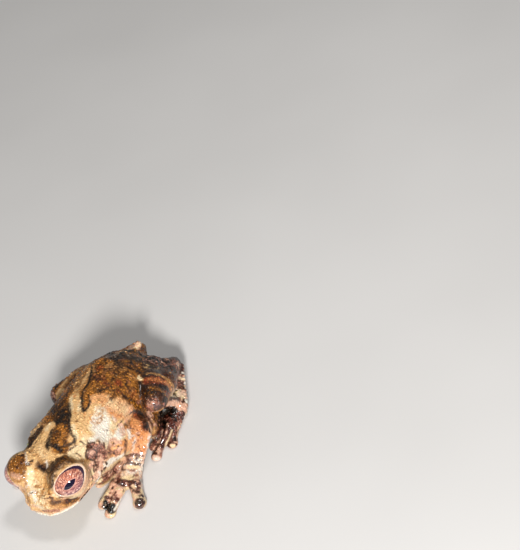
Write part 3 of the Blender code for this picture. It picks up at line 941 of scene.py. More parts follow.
# Painted light among the strokes: the thin white lines between and over the eyes (white 10 at80 lone) and
# the small white streaks on the upper arm (white 18 arm at90, white 14 arm at80) are painted highlights;
# the dark line in the crease between back and thigh (dark 18 at90) is painted shade.
MARK_TABLE = """\
dark_olive 124 ~30 lone | 10,-41,102 32,-16,114 46,-3,115
olive 110 ~30 lone spots35, black 110 ~30 lone lines30 | 10,-41,102 37,-10,115
olive 21 | -22,-79,61 16,-33,108 / 29,-18,114
olive 22 | 21,-12,115
olive 18 | 42,-13,114
gold 17 | 25,-37,105
green 14 at70 lone | 37,-41,104 24,-42,102 -23,-85,56
gold 76 ~20 | -32,-72,70 -54,-70,72 -73,-59,74 -73,-33,93
black 15 at80 | -36,-81,71 -51,-77,71 -68,-74,69 -83,-60,70
beige 30 | -24,-75,64 -35,-70,70
beige 21 | -40,-73,72 -52,-71,72 / -61,-68,73 -68,-61,75 / -75,-61,73 -64,-26,101
black 14 | 5,-23,112 -12,-31,107 -33,-35,103 -69,-56,75
tan 61 ~15 | -50,-11,111 -32,-7,113 -14,-8,114 2,-9,115 17,-5,115
beige 30 at80 | -42,-12,111 -22,-10,113 -6,-12,114
beige 86 ~15 | 7,-7,115 28,7,114 45,18,112 59,24,108 65,31,102
beige 69 ~30 | 29,18,111 45,27,107 59,35,101
cream 25 | 9,-11,115 26,0,115
cream 28 | 51,15,113 64,25,106
cream 21 | 16,6,114 27,10,114
orange 26 at80 | 5,-7,116
olive 22 | 42,16,112
tan 19 | 31,8,114
tan 14 | 53,26,109
olive 124 ~15 | 61,3,113 72,3,109
olive 83 ~15 | 81,3,107 82,14,104
gold 76 ~30 spots60 | 59,1,113 70,10,109 79,10,105
black 110 ~30 lines16 | 61,2,113 76,6,107
black 32 at90 ~20 | 55,-15,114 66,-12,112 78,-12,107 88,-9,104
black 23 at90 ~20 | 52,-20,113 50,-9,115 50,4,115
black 21 at90 ~15 | 19,-9,115 36,3,115 52,9,114 60,16,111 65,23,106 71,24,103
black 18 at90 ~15 | 83,9,104 78,16,104 72,23,104
black 30 at90 ~20 | 81,-7,106 85,3,105 86,12,103
gold 17 | 87,-1,104 89,7,103
beige 97 ~20 | 32,26,108 49,31,105 59,38,99
peach 97 ~20 | 2,24,110 -4,37,102 -12,47,91
beige 83 ~30 | 14,26,109 5,40,99 -5,49,87
peach 62 ~15 | -15,53,80 -15,55,74
beige 131 ~30 | 25,31,105 16,42,97 6,50,83
cream 117 ~40 | 38,39,98 29,48,86
cream 83 ~30 | 62,36,99 61,48,84
cream 83 ~40 | 22,42,96 36,48,85 49,52,80
white 83 at70 ~40 | 28,42,95 42,48,88
white 41 ~30 | 48,44,94 58,42,96
pink 124 ~40 spots35 | 16,44,94 26,57,71
peach 110 ~30 | 0,43,96 -9,53,78
orange 110 ~30 spots30 | 0,43,96 -5,54,75
pink 110 ~30 spots35 | -4,43,95 -12,54,76
rust 124 at50 ~30 lines8 | -7,42,96 -14,55,73
white 110 at60 ~50 | 28,42,95 36,51,77
white 152 ~40 spots40 | 30,40,97 23,53,75
white 69 at70 ~40 | 12,35,104 22,42,96 42,48,88
peach 97 at50 ~40 | -9,42,97 -11,51,83
orange 124 at80 ~40 spots30 | -8,37,101 -7,52,81
cream 97 at80 ~40 spots22 | -6,36,103 -8,46,91
brown 138 at80 ~40 lines12 | 31,52,76 39,58,66
tan 166 at80 ~40 lines20 | 25,26,108 5,31,107 -10,45,92
orange 97 at70 ~40 lines16 | 42,26,108 25,26,108
gold 179 at80 ~40 spots7 | 26,29,107 10,37,102 -5,47,90
white 55 at50 ~30 | 37,41,97 46,49,86
olive 32 | -20,39,100
olive 25 | -12,21,111
rust 14 at70 | 0,31,107
tan 12 | 22,27,108 / 12,31,107 / 40,36,101 / 2,42,96 / -4,49,86
black 15 | -66,-21,104 -36,-4,113 -23,0,114 -10,0,115
gold 44 | 1,9,115 13,14,113
black 17 | -8,0,115 6,5,115 18,11,114 24,17,112
black 15 | 24,17,112 16,19,112 7,17,112 -2,11,114
grey 14 at70 | -6,3,115
tan 62 at70 ~30 | -58,12,110 -67,25,100
rust 44 at80 ~20 | -51,2,112
rust 58 at85 ~20 | -40,35,102
black 12 | -50,14,109 -49,22,106 -50,28,103 -64,33,96
black 11 | -42,26,106 -47,32,101 -54,37,96
black 15 at90 | -15,11,113 -13,22,111 -22,26,108 -24,34,103 -29,42,96
grey 12 | -45,-2,112
dark 17 | -29,9,113 -36,11,112 / -28,20,110 -30,28,107 / -44,41,95 -53,43,91 / -36,48,88 -46,50,85
dark 15 | -26,45,93 -27,50,86 / -36,2,113 -25,13,112
dark 14 | -43,12,110 -36,19,110 / -29,52,81 -32,56,73
beige 13 | -59,40,92 / -61,44,87 / -68,45,83 / -67,52,81 / -63,59,81
orange 69 at35 ~30 | -39,49,87 -39,55,74
rose 36 at60 | -34,57,71
dark 124 ~30 lines16 | -34,11,112 -34,36,101 -52,49,83
tan 110 ~30 spots15 | -44,2,112 -52,27,103 -58,44,88
rust 166 at50 ~40 spots20 | -41,7,111 -39,34,102 -46,50,85
black 166 at80 ~40 lines10 | -47,1,112 -45,31,103 -52,49,83
dark 23 ~15 | -61,49,81 -57,60,80 -42,63,76 -32,71,73
dark 83 ~30 | -79,-32,90 -110,-42,65 -78,7,103
dark_olive 90 ~30 | -85,5,100 -96,18,88 -105,32,72
black 110 ~30 spots40 | -77,5,105 -89,22,90 -97,42,73
rose 8 at80 ~8 | -83,-1,101 -104,5,87 / -79,15,100 -105,19,81 / -75,23,98 -86,35,84 / -128,10,66 -144,4,40
 -118,38,64 / -119,14,71 -117,26,68 -115,38,66 / -107,20,78 -109,30,71 -110,40,68 / -134,11,58 -126,29,61
 -130,37,53 / -107,8,85 -110,14,79 -108,22,76
black 62 ~20 spots60 | -92,0,96 -108,4,85 -121,15,69 -116,33,67
brown 48 at80 ~20 | -134,10,69 -140,8,50
grey 110 at70 ~30 lines30 | -82,-6,101 -106,14,83 -112,36,68
pink 83 at70 ~30 lines14 | -124,13,68 -118,40,62
pink 58 ~20 | -131,-2,70 -132,7,73
cream 48 ~20 spots50 | -130,1,71 -133,8,74
brown 62 ~20 lines25 | -130,1,71 -132,9,73
brown 12 | -122,4,74 / -129,7,70 / -111,5,83 / -137,7,62 / -134,1,73
dark 28 ~20 | -73,29,95 -76,43,82
dark_olive 69 ~20 | 82,-47,96 71,-42,100 64,-33,108
green 12 at80 lone | 100,-54,98 88,-48,95 75,-51,96
beige 59 ~15 | 56,-17,113 69,-23,109 80,-29,104 90,-32,101
tan 14 | 61,-21,112 70,-26,108
brown 11 | 73,-28,106 81,-32,102
cream 28 at80 | 55,-20,113 64,-21,111
olive 124 ~20 lone | 116,-52,100 116,-39,102 129,-40,96
gold 110 ~20 lone spots40 | 118,-52,100 125,-37,98
dark 110 ~20 lone spots10 | 116,-50,101 120,-38,101
gold 41 at80 ~20 lone | 124,-47,99 127,-37,96
green 55 at50 ~20 lone spots50 | 115,-60,96 108,-57,99 103,-53,100
tan 41 at60 ~20 lone | 115,-60,96 109,-56,100
brown 30 lone | 103,-40,102
brown 28 lone | 114,-35,102
brown 17 lone | 114,-48,103
brown 18 lone | 122,-39,100
brown 17 lone | 120,-54,98 / 106,-44,103
brown 14 lone | 128,-46,96
beige 69 ~15 | 88,-19,103 96,-13,99 102,-15,97
beige 47 ~15 | 105,-30,100 93,-31,100
dark 25 lone | 114,-27,98 107,-25,98
brown 61 at80 ~30 lone | 108,-13,94 111,-4,93
dark 35 ~20 lone | 110,-12,94 112,-5,92
tan 97 at80 ~30 spots30 | 94,-28,100 95,-15,100 106,-19,96
brown 97 at70 ~30 lines10 | 91,-30,100 95,-15,100
white 10 at80 lone | 97,-41,100 106,-33,101 113,-28,98 / 103,-5,97 109,-1,94
cream 110 ~40 | 133,-13,78 142,-7,70 147,0,64
white 97 ~40 spots20 | 134,-16,78 145,-8,67
gold 124 at80 ~40 spots28 | 121,-12,87 133,-2,79 142,9,69
gold 69 at50 ~30 | 141,16,65 133,28,58
tan 110 at60 ~40 lines20 | 124,-22,88 139,-13,76 149,-3,61
gold 124 at60 ~40 lines16 | 131,-6,80 143,7,70
cream 48 ~30 | 120,-22,92 128,-22,84
beige 48 ~30 | 118,-13,88 127,-5,82
gold 69 at80 ~30 spots50 | 137,8,79 138,18,67 133,29,61
brown 55 at80 ~20 lines25 | 139,13,74 137,23,64 126,34,54
gold 35 at50 ~30 | 143,7,70 146,11,61
olive 76 ~30 | 127,9,87 120,11,96 113,19,104 105,25,106 98,34,103
dark_olive 58 ~25 | 113,12,100 107,14,101 100,18,103 93,24,101
dark 62 ~20 spots40 | 113,12,100 105,12,100 98,18,102
olive 55 ~20 spots15 | 109,4,95 102,16,102 95,24,102
tan 41 at85 ~20 | 119,4,89 128,7,84
green 33 at35 ~20 | 118,7,93 126,5,85
dark_olive 36 at85 ~20 | 113,12,100 124,19,100 133,22,93
white 10 at80 lone | 102,-5,97 109,0,94
tan 33 at70 ~30 | 131,4,80 124,2,86
dark 55 at90 ~20 lines30 | 114,7,96 106,11,100 98,20,102
grey 41 at45 ~20 | 134,18,86 128,20,97 122,23,104 113,27,106 105,33,106
dark_olive 41 at80 ~20 lines40 | 132,16,87 126,20,99 116,26,106
dark_olive 55 at70 ~20 | 113,4,94 107,7,98
tan 41 at60 ~20 lines30 | 113,27,106 105,33,106
tan 22 at70 ~20 | 93,29,101 94,41,98 98,51,95
cream 66 ~20 | 79,27,99 75,35,98 76,40,92
cream 41 ~20 | 87,25,99 87,35,96
brown 11 | 81,22,101 73,28,101
brown 10 | 82,31,98 83,38,94 / 67,36,99 66,30,102
pink 97 ~30 | 60,49,83 69,48,67 80,44,67
pink 62 ~20 | 83,44,61 87,39,42 105,36,41
rose 110 ~30 spots45 | 60,47,90 66,48,68
brown 110 ~30 lines22 | 63,44,92 57,50,78 69,48,62
brown 55 at80 ~20 lines25 | 83,44,66 90,44,49 107,36,41
cream 55 ~20 spots30 | 84,43,63 88,40,41 108,35,41
rose 48 at70 ~20 | 60,48,88 56,52,72
brown 23 at85 | 61,42,95
brown 22 at85 | 50,51,82
brown 21 at85 | 73,46,62
brown 18 at85 | 57,51,73
brown 17 at85 | 49,53,72
brown 14 at85 | 65,50,75 / 78,44,69 / 82,42,79
brown 17 at85 | 65,50,61
rose 69 ~15 | 70,44,84
pink 36 at80 ~15 | 69,44,85
brown 12 at90 ~8 | 77,40,89 72,41,94 66,44,92 64,47,85 65,47,78 71,47,77 75,44,78 78,41,83 77,40,89
brown 17 | 77,41,83 74,40,92 68,41,95 64,44,92
dark 14 | 76,42,79 74,45,76 70,47,76
brown 11 | 69,47,76 64,47,80
white 21 | 80,45,52 72,47,53 57,52,50
white 61 ~15 | 58,51,50 48,54,46 41,60,48
rose 36 at80 ~15 spots60 | 25,61,67 34,64,61 39,63,54
orange 36 at80 ~15 lines50 | 29,61,66 37,63,57
pink 55 ~20 | 66,44,34 44,47,22
pink 48 arm ~20 | 64,45,30 45,47,19
rose 55 ~20 spots50 | 70,43,34 48,46,21
brown 55 ~20 lines20 | 69,43,35 48,46,21
brown 17 at80 | 79,41,41 70,43,34 57,46,30
rose 22 | 75,40,31 62,45,24
brown 11 at70 | 113,34,42 100,38,41 83,35,31 / 86,44,70 87,43,54 96,42,48
cream 12 | 82,41,40 100,41,49 110,35,42
pink 55 ~20 | 73,46,54 94,39,41 114,34,40
white 55 ~20 lines35 | 68,48,57 86,35,34 114,34,42
brown 62 ~20 spots32 | 66,49,54 81,39,36 112,35,41
cream 29 | 137,18,75 136,23,71
brown 18 at80 | 136,24,69 134,34,71 130,40,68
brown 44 ~20 | 132,30,59 123,36,54
dark 23 at90 | 129,31,54 120,37,51
brown 33 at80 ~20 | 143,15,64 138,23,62
brown 41 at50 ~20 lines40 | 142,8,73 141,14,68
gold 36 at60 ~20 | 140,21,55 131,30,51 121,37,51
rose 23 at80 | 150,-2,53 149,9,54 143,18,51
white 21 ~15 | 149,-17,41 149,-2,41 142,15,41 133,25,41 122,32,41
dark 10 lone | 133,-26,82
dark 11 lone | 133,1,78
dark 83 leg ~20 | -94,42,74 -109,51,61
brown 97 leg at80 ~20 | -98,44,72 -111,58,57
black 97 leg ~20 spots40 | -101,39,72 -117,54,53
beige 97 leg at70 ~20 lines20 | -98,44,72 -111,58,57
rose 110 leg at85 ~20 lines24 | -106,36,70 -122,43,57 -121,61,50
black 97 leg at90 ~20 lines30 | -105,40,70 -120,49,51 -113,68,50
beige 97 leg at90 ~20 spots10 | -107,39,70 -122,48,51 -113,69,48
tan 69 leg at80 ~20 spots22 | -94,64,68 -96,76,59 -96,79,43
brown 110 leg ~20 | -42,74,81 -48,89,74
olive 110 leg ~20 spots35 | -44,73,82 -48,89,74
black 110 leg ~20 lines25 | -46,74,82 -46,88,76
rust 63 leg ~15 | -66,59,81 -71,68,79 -76,77,69
orange 44 leg at45 ~15 | -69,62,81 -74,73,74 -77,80,65
orange 35 leg at70 ~15 | -77,79,66 -75,84,55
tan 28 leg | -78,53,80 -82,65,76 -85,74,68 -83,81,58 -84,80,43
black 12 leg | -57,63,80 -60,72,79 -61,81,75
gold 30 leg at80 ~15 | -54,68,80 -56,80,78 -57,88,70
rust 35 leg at70 ~20 | -60,87,67 -53,91,63
black 22 leg | -50,68,80 -38,71,78
brown 83 leg at70 ~20 | -32,75,73 -37,87,70
rose 77 leg ~20 | -33,80,73 -34,83,73
pink 41 leg at50 ~25 | -34,77,76 -35,81,76
maroon 76 leg ~20 spots22, brown 76 leg ~20 lines14 | -32,78,74 -35,85,70
dark 69 leg ~15 | -48,92,63 -61,65,20 -45,70,23
black 69 leg ~15 spots50 | -48,92,63 -61,65,20 -42,71,22
rose 69 leg ~15 lines15 | -48,92,63 -53,67,21
brown 97 leg ~20 | -127,45,50 -135,57,42 -125,64,29 -102,73,26
black 110 leg ~20 spots35 | -117,46,58 -126,57,47
rose 83 leg at60 ~20 | -131,55,46 -127,65,40 -120,67,26 -99,75,26
rose 97 leg ~20 lines35 | -127,45,50 -133,60,40
dark 97 leg at90 ~20 lines32 | -130,49,48 -131,62,39 -120,67,26 -99,75,26
pink 97 leg ~20 spots30 | -134,50,46 -131,62,39 -120,67,26 -102,73,26
black 19 leg | -133,39,50 / -124,56,50
black 17 leg | -143,53,39
black 18 leg | -109,63,57
black 15 leg | -120,64,48 / -119,45,57
rose 14 leg | -129,47,49 / -142,48,42 / -135,60,38 / -104,71,58
brown 62 leg ~20 spots25 | -124,66,39 -107,73,25
cream 62 leg ~20 spots15 | -133,62,32 -109,74,23
white 25 leg | -132,65,23 / -124,71,23 / -116,75,21 / -108,78,18 / -95,88,18
white 48 leg spots40 | -94,69,26 -97,78,24
pink 14 leg | -127,65,36 / -123,65,28 / -116,70,25 / -106,74,24 / -96,79,43
cream 66 leg ~15, white 66 leg ~15 spots40 | -91,74,26 -96,79,24
pink 62 leg ~15 | -97,83,22 -83,89,21
brown 69 leg spots12 | -94,73,27 -83,89,21
white 30 leg | -89,90,19 -81,93,10 -73,92,6
pink 22 leg | -67,95,12 -46,95,10
pink 47 leg ~15 | -60,82,42 -73,84,29 -77,92,20
cream 62 leg ~15 spots60 | -77,82,48 -92,81,24
brown 55 leg ~15 spots40 | -88,82,53 -105,76,23
maroon 83 leg ~15 | -63,73,18 -64,90,15
black 97 leg ~15 spots45 | -65,74,18 -62,94,15
rose 97 leg ~15 lines12 | -61,72,17 -60,92,14
dark 17 leg | -65,81,30 -71,89,21
rose 33 leg | -50,93,14 -56,96,11
maroon 22 leg | -44,94,12 -48,96,10
rose 28 leg | -42,95,7 -47,95,9
cream 14 leg | -80,93,9 -70,92,7 -47,95,11 -39,96,6
rose 69 leg lines15 | -48,67,30 -18,69,21
pink 41 leg at80 ~15 | -72,89,22 -75,95,17
rose 55 leg ~15 spots50 | -64,93,15 -48,96,8
pink 55 leg ~15 spots25 | -61,96,11 -34,97,7
pink 55 leg ~15 spots45 | -34,94,11 -27,100,6
pink 55 leg ~15 spots20 | -20,82,13 -33,88,12
maroon 62 leg ~15 | -40,76,15 -20,78,12
black 69 leg ~15 spots35 | -43,75,16 -23,73,11
cream 12 leg | -38,89,14 -23,89,9 -9,86,4
pink 11 leg | -35,76,15 -18,79,12 / -45,80,17 -30,84,14
black 14 leg | -35,72,25 -20,70,16 / -57,77,35 -50,69,15
maroon 69 leg ~15 | -15,73,9 -2,80,10
pink 69 leg spots20 | -18,71,10 -3,83,10
rose 55 leg ~15 spots60, pink 55 leg ~15 lines35 | -13,71,10 -2,82,10
pink 46 leg | 8,81,7 7,86,6
white 36 leg at70 ~20 | 9,83,6 8,86,5
dark 41 leg | -29,97,9
cream 36 leg | -18,98,6
cream 83 arm ~30 | 23,52,79 21,58,69
peach 97 arm ~30 spots40 | 19,52,78 16,59,67
white 62 arm ~30 | 27,57,71 16,56,71
orange 90 arm at85 ~30 | -8,66,60 1,75,50 14,74,37
orange 69 arm at60 ~30 | 14,68,59 21,69,42
pink 97 arm at80 ~30 spots45 | 10,69,58 16,71,41
white 69 arm ~30 spots35 | 10,61,65 23,68,53
rust 97 arm at70 ~30 lines16 | 5,67,60 18,72,39
brown 97 arm at80 ~30 spots6 | 5,67,60 16,71,41
peach 41 arm at80 ~20 | 12,63,64 25,67,55
peach 83 arm at80 ~30 | 39,56,68 42,59,57
rose 69 arm at80 ~20 spots50 | 47,53,68 43,58,56
pink 69 arm ~20 spots30 | 38,54,72 37,60,64
brown 14 arm at85 | 38,55,70
brown 15 arm at85 | 38,60,63
brown 17 arm at85 | 46,56,58
brown 14 arm at85 | 42,60,51
brown 17 arm at85 | 51,53,65
brown 12 arm at85 | 37,63,58
brown 14 arm at85 | 45,55,45
dark 11 arm | 15,52,78 -5,54,75 -20,57,69
pink 69 arm ~30 spots40 | 7,55,73 18,65,63
rust 48 arm at80 ~25 | -19,59,64 -17,67,57 -6,76,53
brown 47 arm at90 ~18 | -24,59,60 -19,69,56 -9,77,52
dark 33 arm ~18 | -26,59,61 -27,63,48 -10,77,51
rose 58 at80 ~20 lone | -30,74,63 -34,66,35 -20,71,23
rust 55 ~20 lone spots50 | -30,72,67 -32,65,37
pink 48 ~20 lone lines30 | -41,63,40 -21,71,26
brown 55 ~20 lone spots30 | -43,62,41 -21,71,26
tan 50 ~20 lone spots35 | -30,76,68 -33,66,36 -21,71,26
pink 41 at80 ~20 lone lines30 | -42,62,42 -14,79,41
dark 15 arm | -20,57,69 -30,60,52 -21,72,50 -7,81,45
brown 11 arm at70 | 25,64,63 32,60,38 37,51,25 48,47,18
maroon 26 arm at85 ~15 | 31,58,34 26,67,33 23,78,27
pink 22 arm | 34,59,29 29,69,27 27,77,23
maroon 18 arm at80 ~15 | 38,56,25 34,68,24 31,76,20
white 21 arm spots30 | 31,68,28 29,75,24
brown 55 arm at80 lines25 | 33,60,31 26,76,24
cream 69 arm at80 | 49,57,19 45,69,20 38,77,13
pink 63 arm at60 | 47,57,19 37,77,14
rose 76 arm spots30 | 46,57,20 37,76,16
peach 83 arm at80 spots35 | 46,60,20 39,77,14
brown 83 arm at80 lines14 | 42,56,22 37,76,16
white 69 arm lines8 | 34,57,29 31,75,21
brown 25 arm at80 lines50 | 49,74,18 40,78,12
brown 11 arm | 45,63,20 / 47,73,19 / 37,74,18 / 51,60,19 / 41,66,21
rose 41 arm ~20 | 60,49,17 55,53,18
brown 41 arm ~20 spots40 | 60,47,16 55,53,18
maroon 61 arm ~15 | 62,58,17 62,74,17 56,86,14
pink 55 arm spots32 | 61,55,17 59,85,16
rose 17 arm | 63,66,12 67,81,16
pink 36 arm, white 36 arm at80 spots50 | -1,82,40 15,79,26 32,77,15 45,80,10 59,89,8
brown 36 arm at80 lines14 | 14,80,27 33,77,16 50,83,9
pink 55 arm | 79,55,14 79,64,14 / 68,79,15 71,88,15
maroon 22 arm ~12 | 73,51,15
maroon 19 arm ~12 | 73,61,17
brown 15 arm | 72,66,12
maroon 17 arm | 79,59,16
cream 22 arm spots50 | 73,57,17 74,65,15
maroon 33 arm ~15 | 87,47,12 86,65,11
rose 28 arm spots50 | 81,50,13 82,61,15
black 72 arm ~15 | 96,50,6 101,62,10
grey 18 arm | 96,48,7
rose 17 arm | 91,52,7
white 18 arm at90 | 10,61,65 14,65,63 20,67,60
white 14 arm at80 | 21,69,44 23,67,40
white 17 arm | 80,66,7 95,66,7 112,61,6
pink 30 arm | 111,61,6
maroon 28 arm at80 ~15 | 65,72,12 67,90,15
maroon 28 arm ~15 | 75,82,11 72,97,10
black 88 arm at95 | 85,99,10
rose 69 arm at70 spots30 | 83,95,12 86,101,7
maroon 69 arm at70 lines40 | 82,94,13 82,102,9
pink 41 arm at60 spots40 | 80,98,12
cream 17 arm at80 | 73,101,6 80,104,4 84,102,3
black 14 arm | 86,99,9 79,102,9
cream 41 arm | 76,40,33
tan 41 at90 ~20 lone | 134,-46,88 134,-38,87 131,-31,89
pink 41 at60 ~20 lone | 131,-46,93 131,-36,91
gold 69 at50 ~20 lone | 111,-61,96 110,-48,103 124,-47,99
tan 69 at70 ~20 lone spots35 | 111,-61,96 114,-48,103 124,-47,99
green 55 at50 ~20 lone spots20 | 113,-52,101 121,-44,100
white 83 arm at30 ~20 | 44,60,21 37,76,16
brown 83 arm at60 spots3 | 42,59,22 39,77,14
cream 83 at50 ~40 | -7,42,96 -11,51,83
rust 110 at60 ~30 lines7 | -5,41,98 -9,53,78
white 55 leg at35 ~20 | -82,79,40 -96,79,24
cream 55 at45 ~30 | 90,-20,101 97,-11,99
tan 55 at80 ~20 lines20 | 89,-21,102 97,-11,99
olive 48 at70 ~20 lines30 | 67,-25,110 77,-23,106
dark 50 at50 ~20 | 105,2,96 114,17,103
grey 33 at40 ~20 | 120,3,88 127,9,86
pink 55 arm at80 spots30 | 60,49,17 62,63,16
pink 47 at80 ~20 lone spots50, pink 47 arm at80 ~20 spots15 | -40,61,46 -31,65,37
dark 83 leg at35 ~20 | -125,44,53 -118,62,52
brown 21 arm at90 | 70,82,15 70,91,14
maroon 17 arm | 65,74,14 67,79,16 / 64,86,16 62,89,14
cream 25 arm at70 | 65,79,17 65,83,17
cream 29 arm at70 | 75,82,11 77,90,14
brown 14 arm | 75,94,13
brown 18 arm at85 | 38,58,26 35,65,26 34,70,22 31,75,21
brown 17 arm at70 | 43,53,20 45,58,21
rose 18 arm at80 | 43,67,20 42,73,18
cream 21 arm at80 | 41,62,23 38,68,21 35,74,19
white 19 arm at50 | 46,62,20 45,71,19 38,75,17
maroon 22 arm | 33,59,30 33,63,29
maroon 17 arm | 28,70,27
rose 22 arm spots40 | 50,65,18 47,76,17
brown 15 arm at85 ~13 | 25,65,61 35,65,49 36,54,27 45,53,20
brown 14 at80 ~13 | 29,65,60 36,64,51 36,51,26
rose 23 at85 ~15, brown 23 at85 ~15 lines55 | 79,36,27 70,43,28 58,46,24 47,46,19
cream 30 at80 ~15 | 70,48,46 58,50,43 46,52,40
brown 17 at70 | 72,43,39 62,46,36 49,46,30 37,48,26
tan 69 at70 ~25 lone | -14,-17,112 -32,-22,109 -55,-25,104
olive 83 at75 ~20 lone lines35 | -14,-17,112 -32,-22,109 -62,-31,98
beige 55 at60 ~20 lone spots25 | -18,-18,111 -41,-25,107 -62,-31,98
dark 14 at80 lone | -79,-60,72 -63,-62,74 -26,-37,101 -5,-25,111
black 15 at90 lone | -60,-18,107 -40,-7,112 -25,-1,114 -10,0,115
tan 25 at75 lone | -28,-74,68 -44,-70,72 -63,-64,74 -84,-62,69
beige 23 at80 lone | -27,-75,67 -34,-73,71
olive 33 ~20 lone | -16,38,101 -11,40,99
dark 17 lone lines60 | -10,35,103 -10,41,98
brown 14 at70 lone | -9,42,97
tan 55 ~20 lone spots40 | -64,42,88 -67,54,81
cream 41 ~20 lone spots25 | -67,43,85 -65,52,81
dark 18 at90, dark 18 leg at90 | -59,52,80 -45,57,74
pink 50 leg at45 ~20 | -81,80,44 -98,81,22
brown 41 leg at80 ~20 lines30 | -84,82,49 -102,78,23
pink 44 at60 ~20 | -118,0,78 -133,-1,70 -133,10,72
cream 41 at80 ~20 spots40 | -127,-2,72 -133,7,74
dark 41 at80 ~20 lines30 | -117,-3,79 -124,0,74
black 83 at85 ~20 spots50 | -96,-11,91 -106,-1,87 -110,9,82
beige 69 at80 ~20 lines12 | -95,-6,93 -111,5,83
black 97 at85 ~20 spots45, black 97 leg at80 ~20 spots40 | -111,39,68 -124,47,51 -117,64,51
rose 97 leg at90 ~20 lines30 | -109,41,68 -123,50,50 -115,67,49
brown 69 leg at50 ~20 | -108,54,59 -109,68,54
pink 83 leg at90 ~20 lines10 | -111,39,68 -123,50,50
olive 110 at70 ~30 lone spots40 | -51,5,112 -62,14,108 -67,25,100
black 110 at70 ~30 lone spots30 | -55,3,112 -65,12,108 -73,24,98
"""


def read_brush(text: str) -> dict[str, object]:
    """Reads one brush.

    Args:
        text: its ink, its half width and its options: arm or leg for the part, lone for one side only,
            "spots" or "lines" with the cover, "at" with the strength and "~" with the edge's width. All
            numbers are in hundredths.

    Returns:
        The mark's fields, but for its points.
    """
    ink, radius, *options = text.split()
    given: dict[str, object] = {"ink": Ink[ink.upper()], "radius": int(radius) / 100}
    for option in options:
        word = option.rstrip("0123456789")
        number = int(option[len(word):] or 0) / 100
        if word in ("arm", "leg"):
            given["part"] = word
        elif word == "lone":
            given["twin"] = False
        elif word in ("spots", "lines"):
            given["weave"], given["cover"] = Weave[word.upper()], number
        else:
            given["strength" if word == "at" else "soft"] = number
    return given


def read_marks(table: str) -> tuple[Mark, ...]:
    """Reads the strokes.

    Args:
        table: rows of brushes, a bar and paths. Brushes stand between commas, paths between slashes, and
            each brush follows each path. A point is three numbers in tenths of a millimetre. A row that
            starts with a space goes on from the one before.

    Returns:
        The strokes in their order.
    """
    marks = []
    for row in table.replace("\n ", " ").splitlines():
        brushes, _, paths = row.partition("|")
        for brush in brushes.split(","):
            given = read_brush(brush)
            for path in paths.split("/"):
                points = tuple(tuple(int(n) / 10 for n in point.split(",")) for point in path.split())
                marks.append(Mark(points=points, **given))
    return tuple(marks)


MARKS = read_marks(MARK_TABLE)
# Middle and reach of the places where the water stands
WET_PLACES = (
    (0.7, 3.6, 10.2, 0.7), (-2.2, 5.4, 7.7, 1.1), (-0.4, 5.5, 7.2, 1), (1.6, 4.9, 8.4, 1.1),
    (2.3, 5.4, 7.3, 1.2), (1.1, 6.5, 6.3, 1), (2, 6.9, 4.6, 0.8), (6.3, 6.4, 1.5, 0.7),
    (8.8, 5.1, 0.8, 1.2), (8.3, 9.7, 1.2, 1), (6.8, 8.8, 1.5, 0.7), (-3.3, 8.1, 7.3, 1),
    (12.9, -3.8, 9.5, 0.8), (6.9, 4.3, 3.5, 0.8), (-12.1, 7.2, 2.2, 1), (-6.8, 8.1, 2.4, 1.1),
    (-1, 8, 1.1, 1), (-5.1, 7.4, 1.7, 1.1), (14.9, -0.6, 6.2, 0.7), (6.8, 4.4, 8.6, 0.8),
    (8.6, 3.5, 3.4, 0.8), (5.2, 4.7, 9.2, 1.1),
)


@dataclass(frozen=True)
class Ground:
    """Base colours of a body part: two mixed tones above, one at the sides and one below."""

    tone: Ink
    blotch: Ink
    side: Ink
    under: Ink
    scale: float = 1.4
    share: float = 0.5


GROUNDS = {
    "torso": Ground(Ink.OLIVE, Ink.GOLD, Ink.OLIVE, Ink.CREAM, scale=0.9, share=0.45),
    "head": Ground(Ink.BEIGE, Ink.TAN, Ink.PINK, Ink.CREAM, scale=0.8, share=0.42),
    "upper_arm": Ground(Ink.ORANGE, Ink.PEACH, Ink.PEACH, Ink.CREAM),
    "forearm": Ground(Ink.PINK, Ink.CREAM, Ink.CREAM, Ink.CREAM, share=0.4),
    "hand": Ground(Ink.PINK, Ink.CREAM, Ink.CREAM, Ink.PINK),
    "thigh": Ground(Ink.BROWN, Ink.DARK, Ink.BROWN, Ink.ORANGE),
    "shank": Ground(Ink.BROWN, Ink.DARK, Ink.ROSE, Ink.CREAM),
    "folds": Ground(Ink.DARK, Ink.BROWN, Ink.DARK, Ink.ROSE),
    "foot": Ground(Ink.ROSE, Ink.MAROON, Ink.PINK, Ink.PINK),
}


def mixed(base: Array, ink: Array, share: Array) -> Array:
    """Colours moved towards an ink by a share each."""
    share = np.clip(share, 0, 1)[:, None]
    return base * (1 - share) + ink * share


@dataclass(frozen=True)
class Cloth:
    """Noise at the vertices that strokes share."""

    warp: Array
    ranks: dict[Weave, Array]


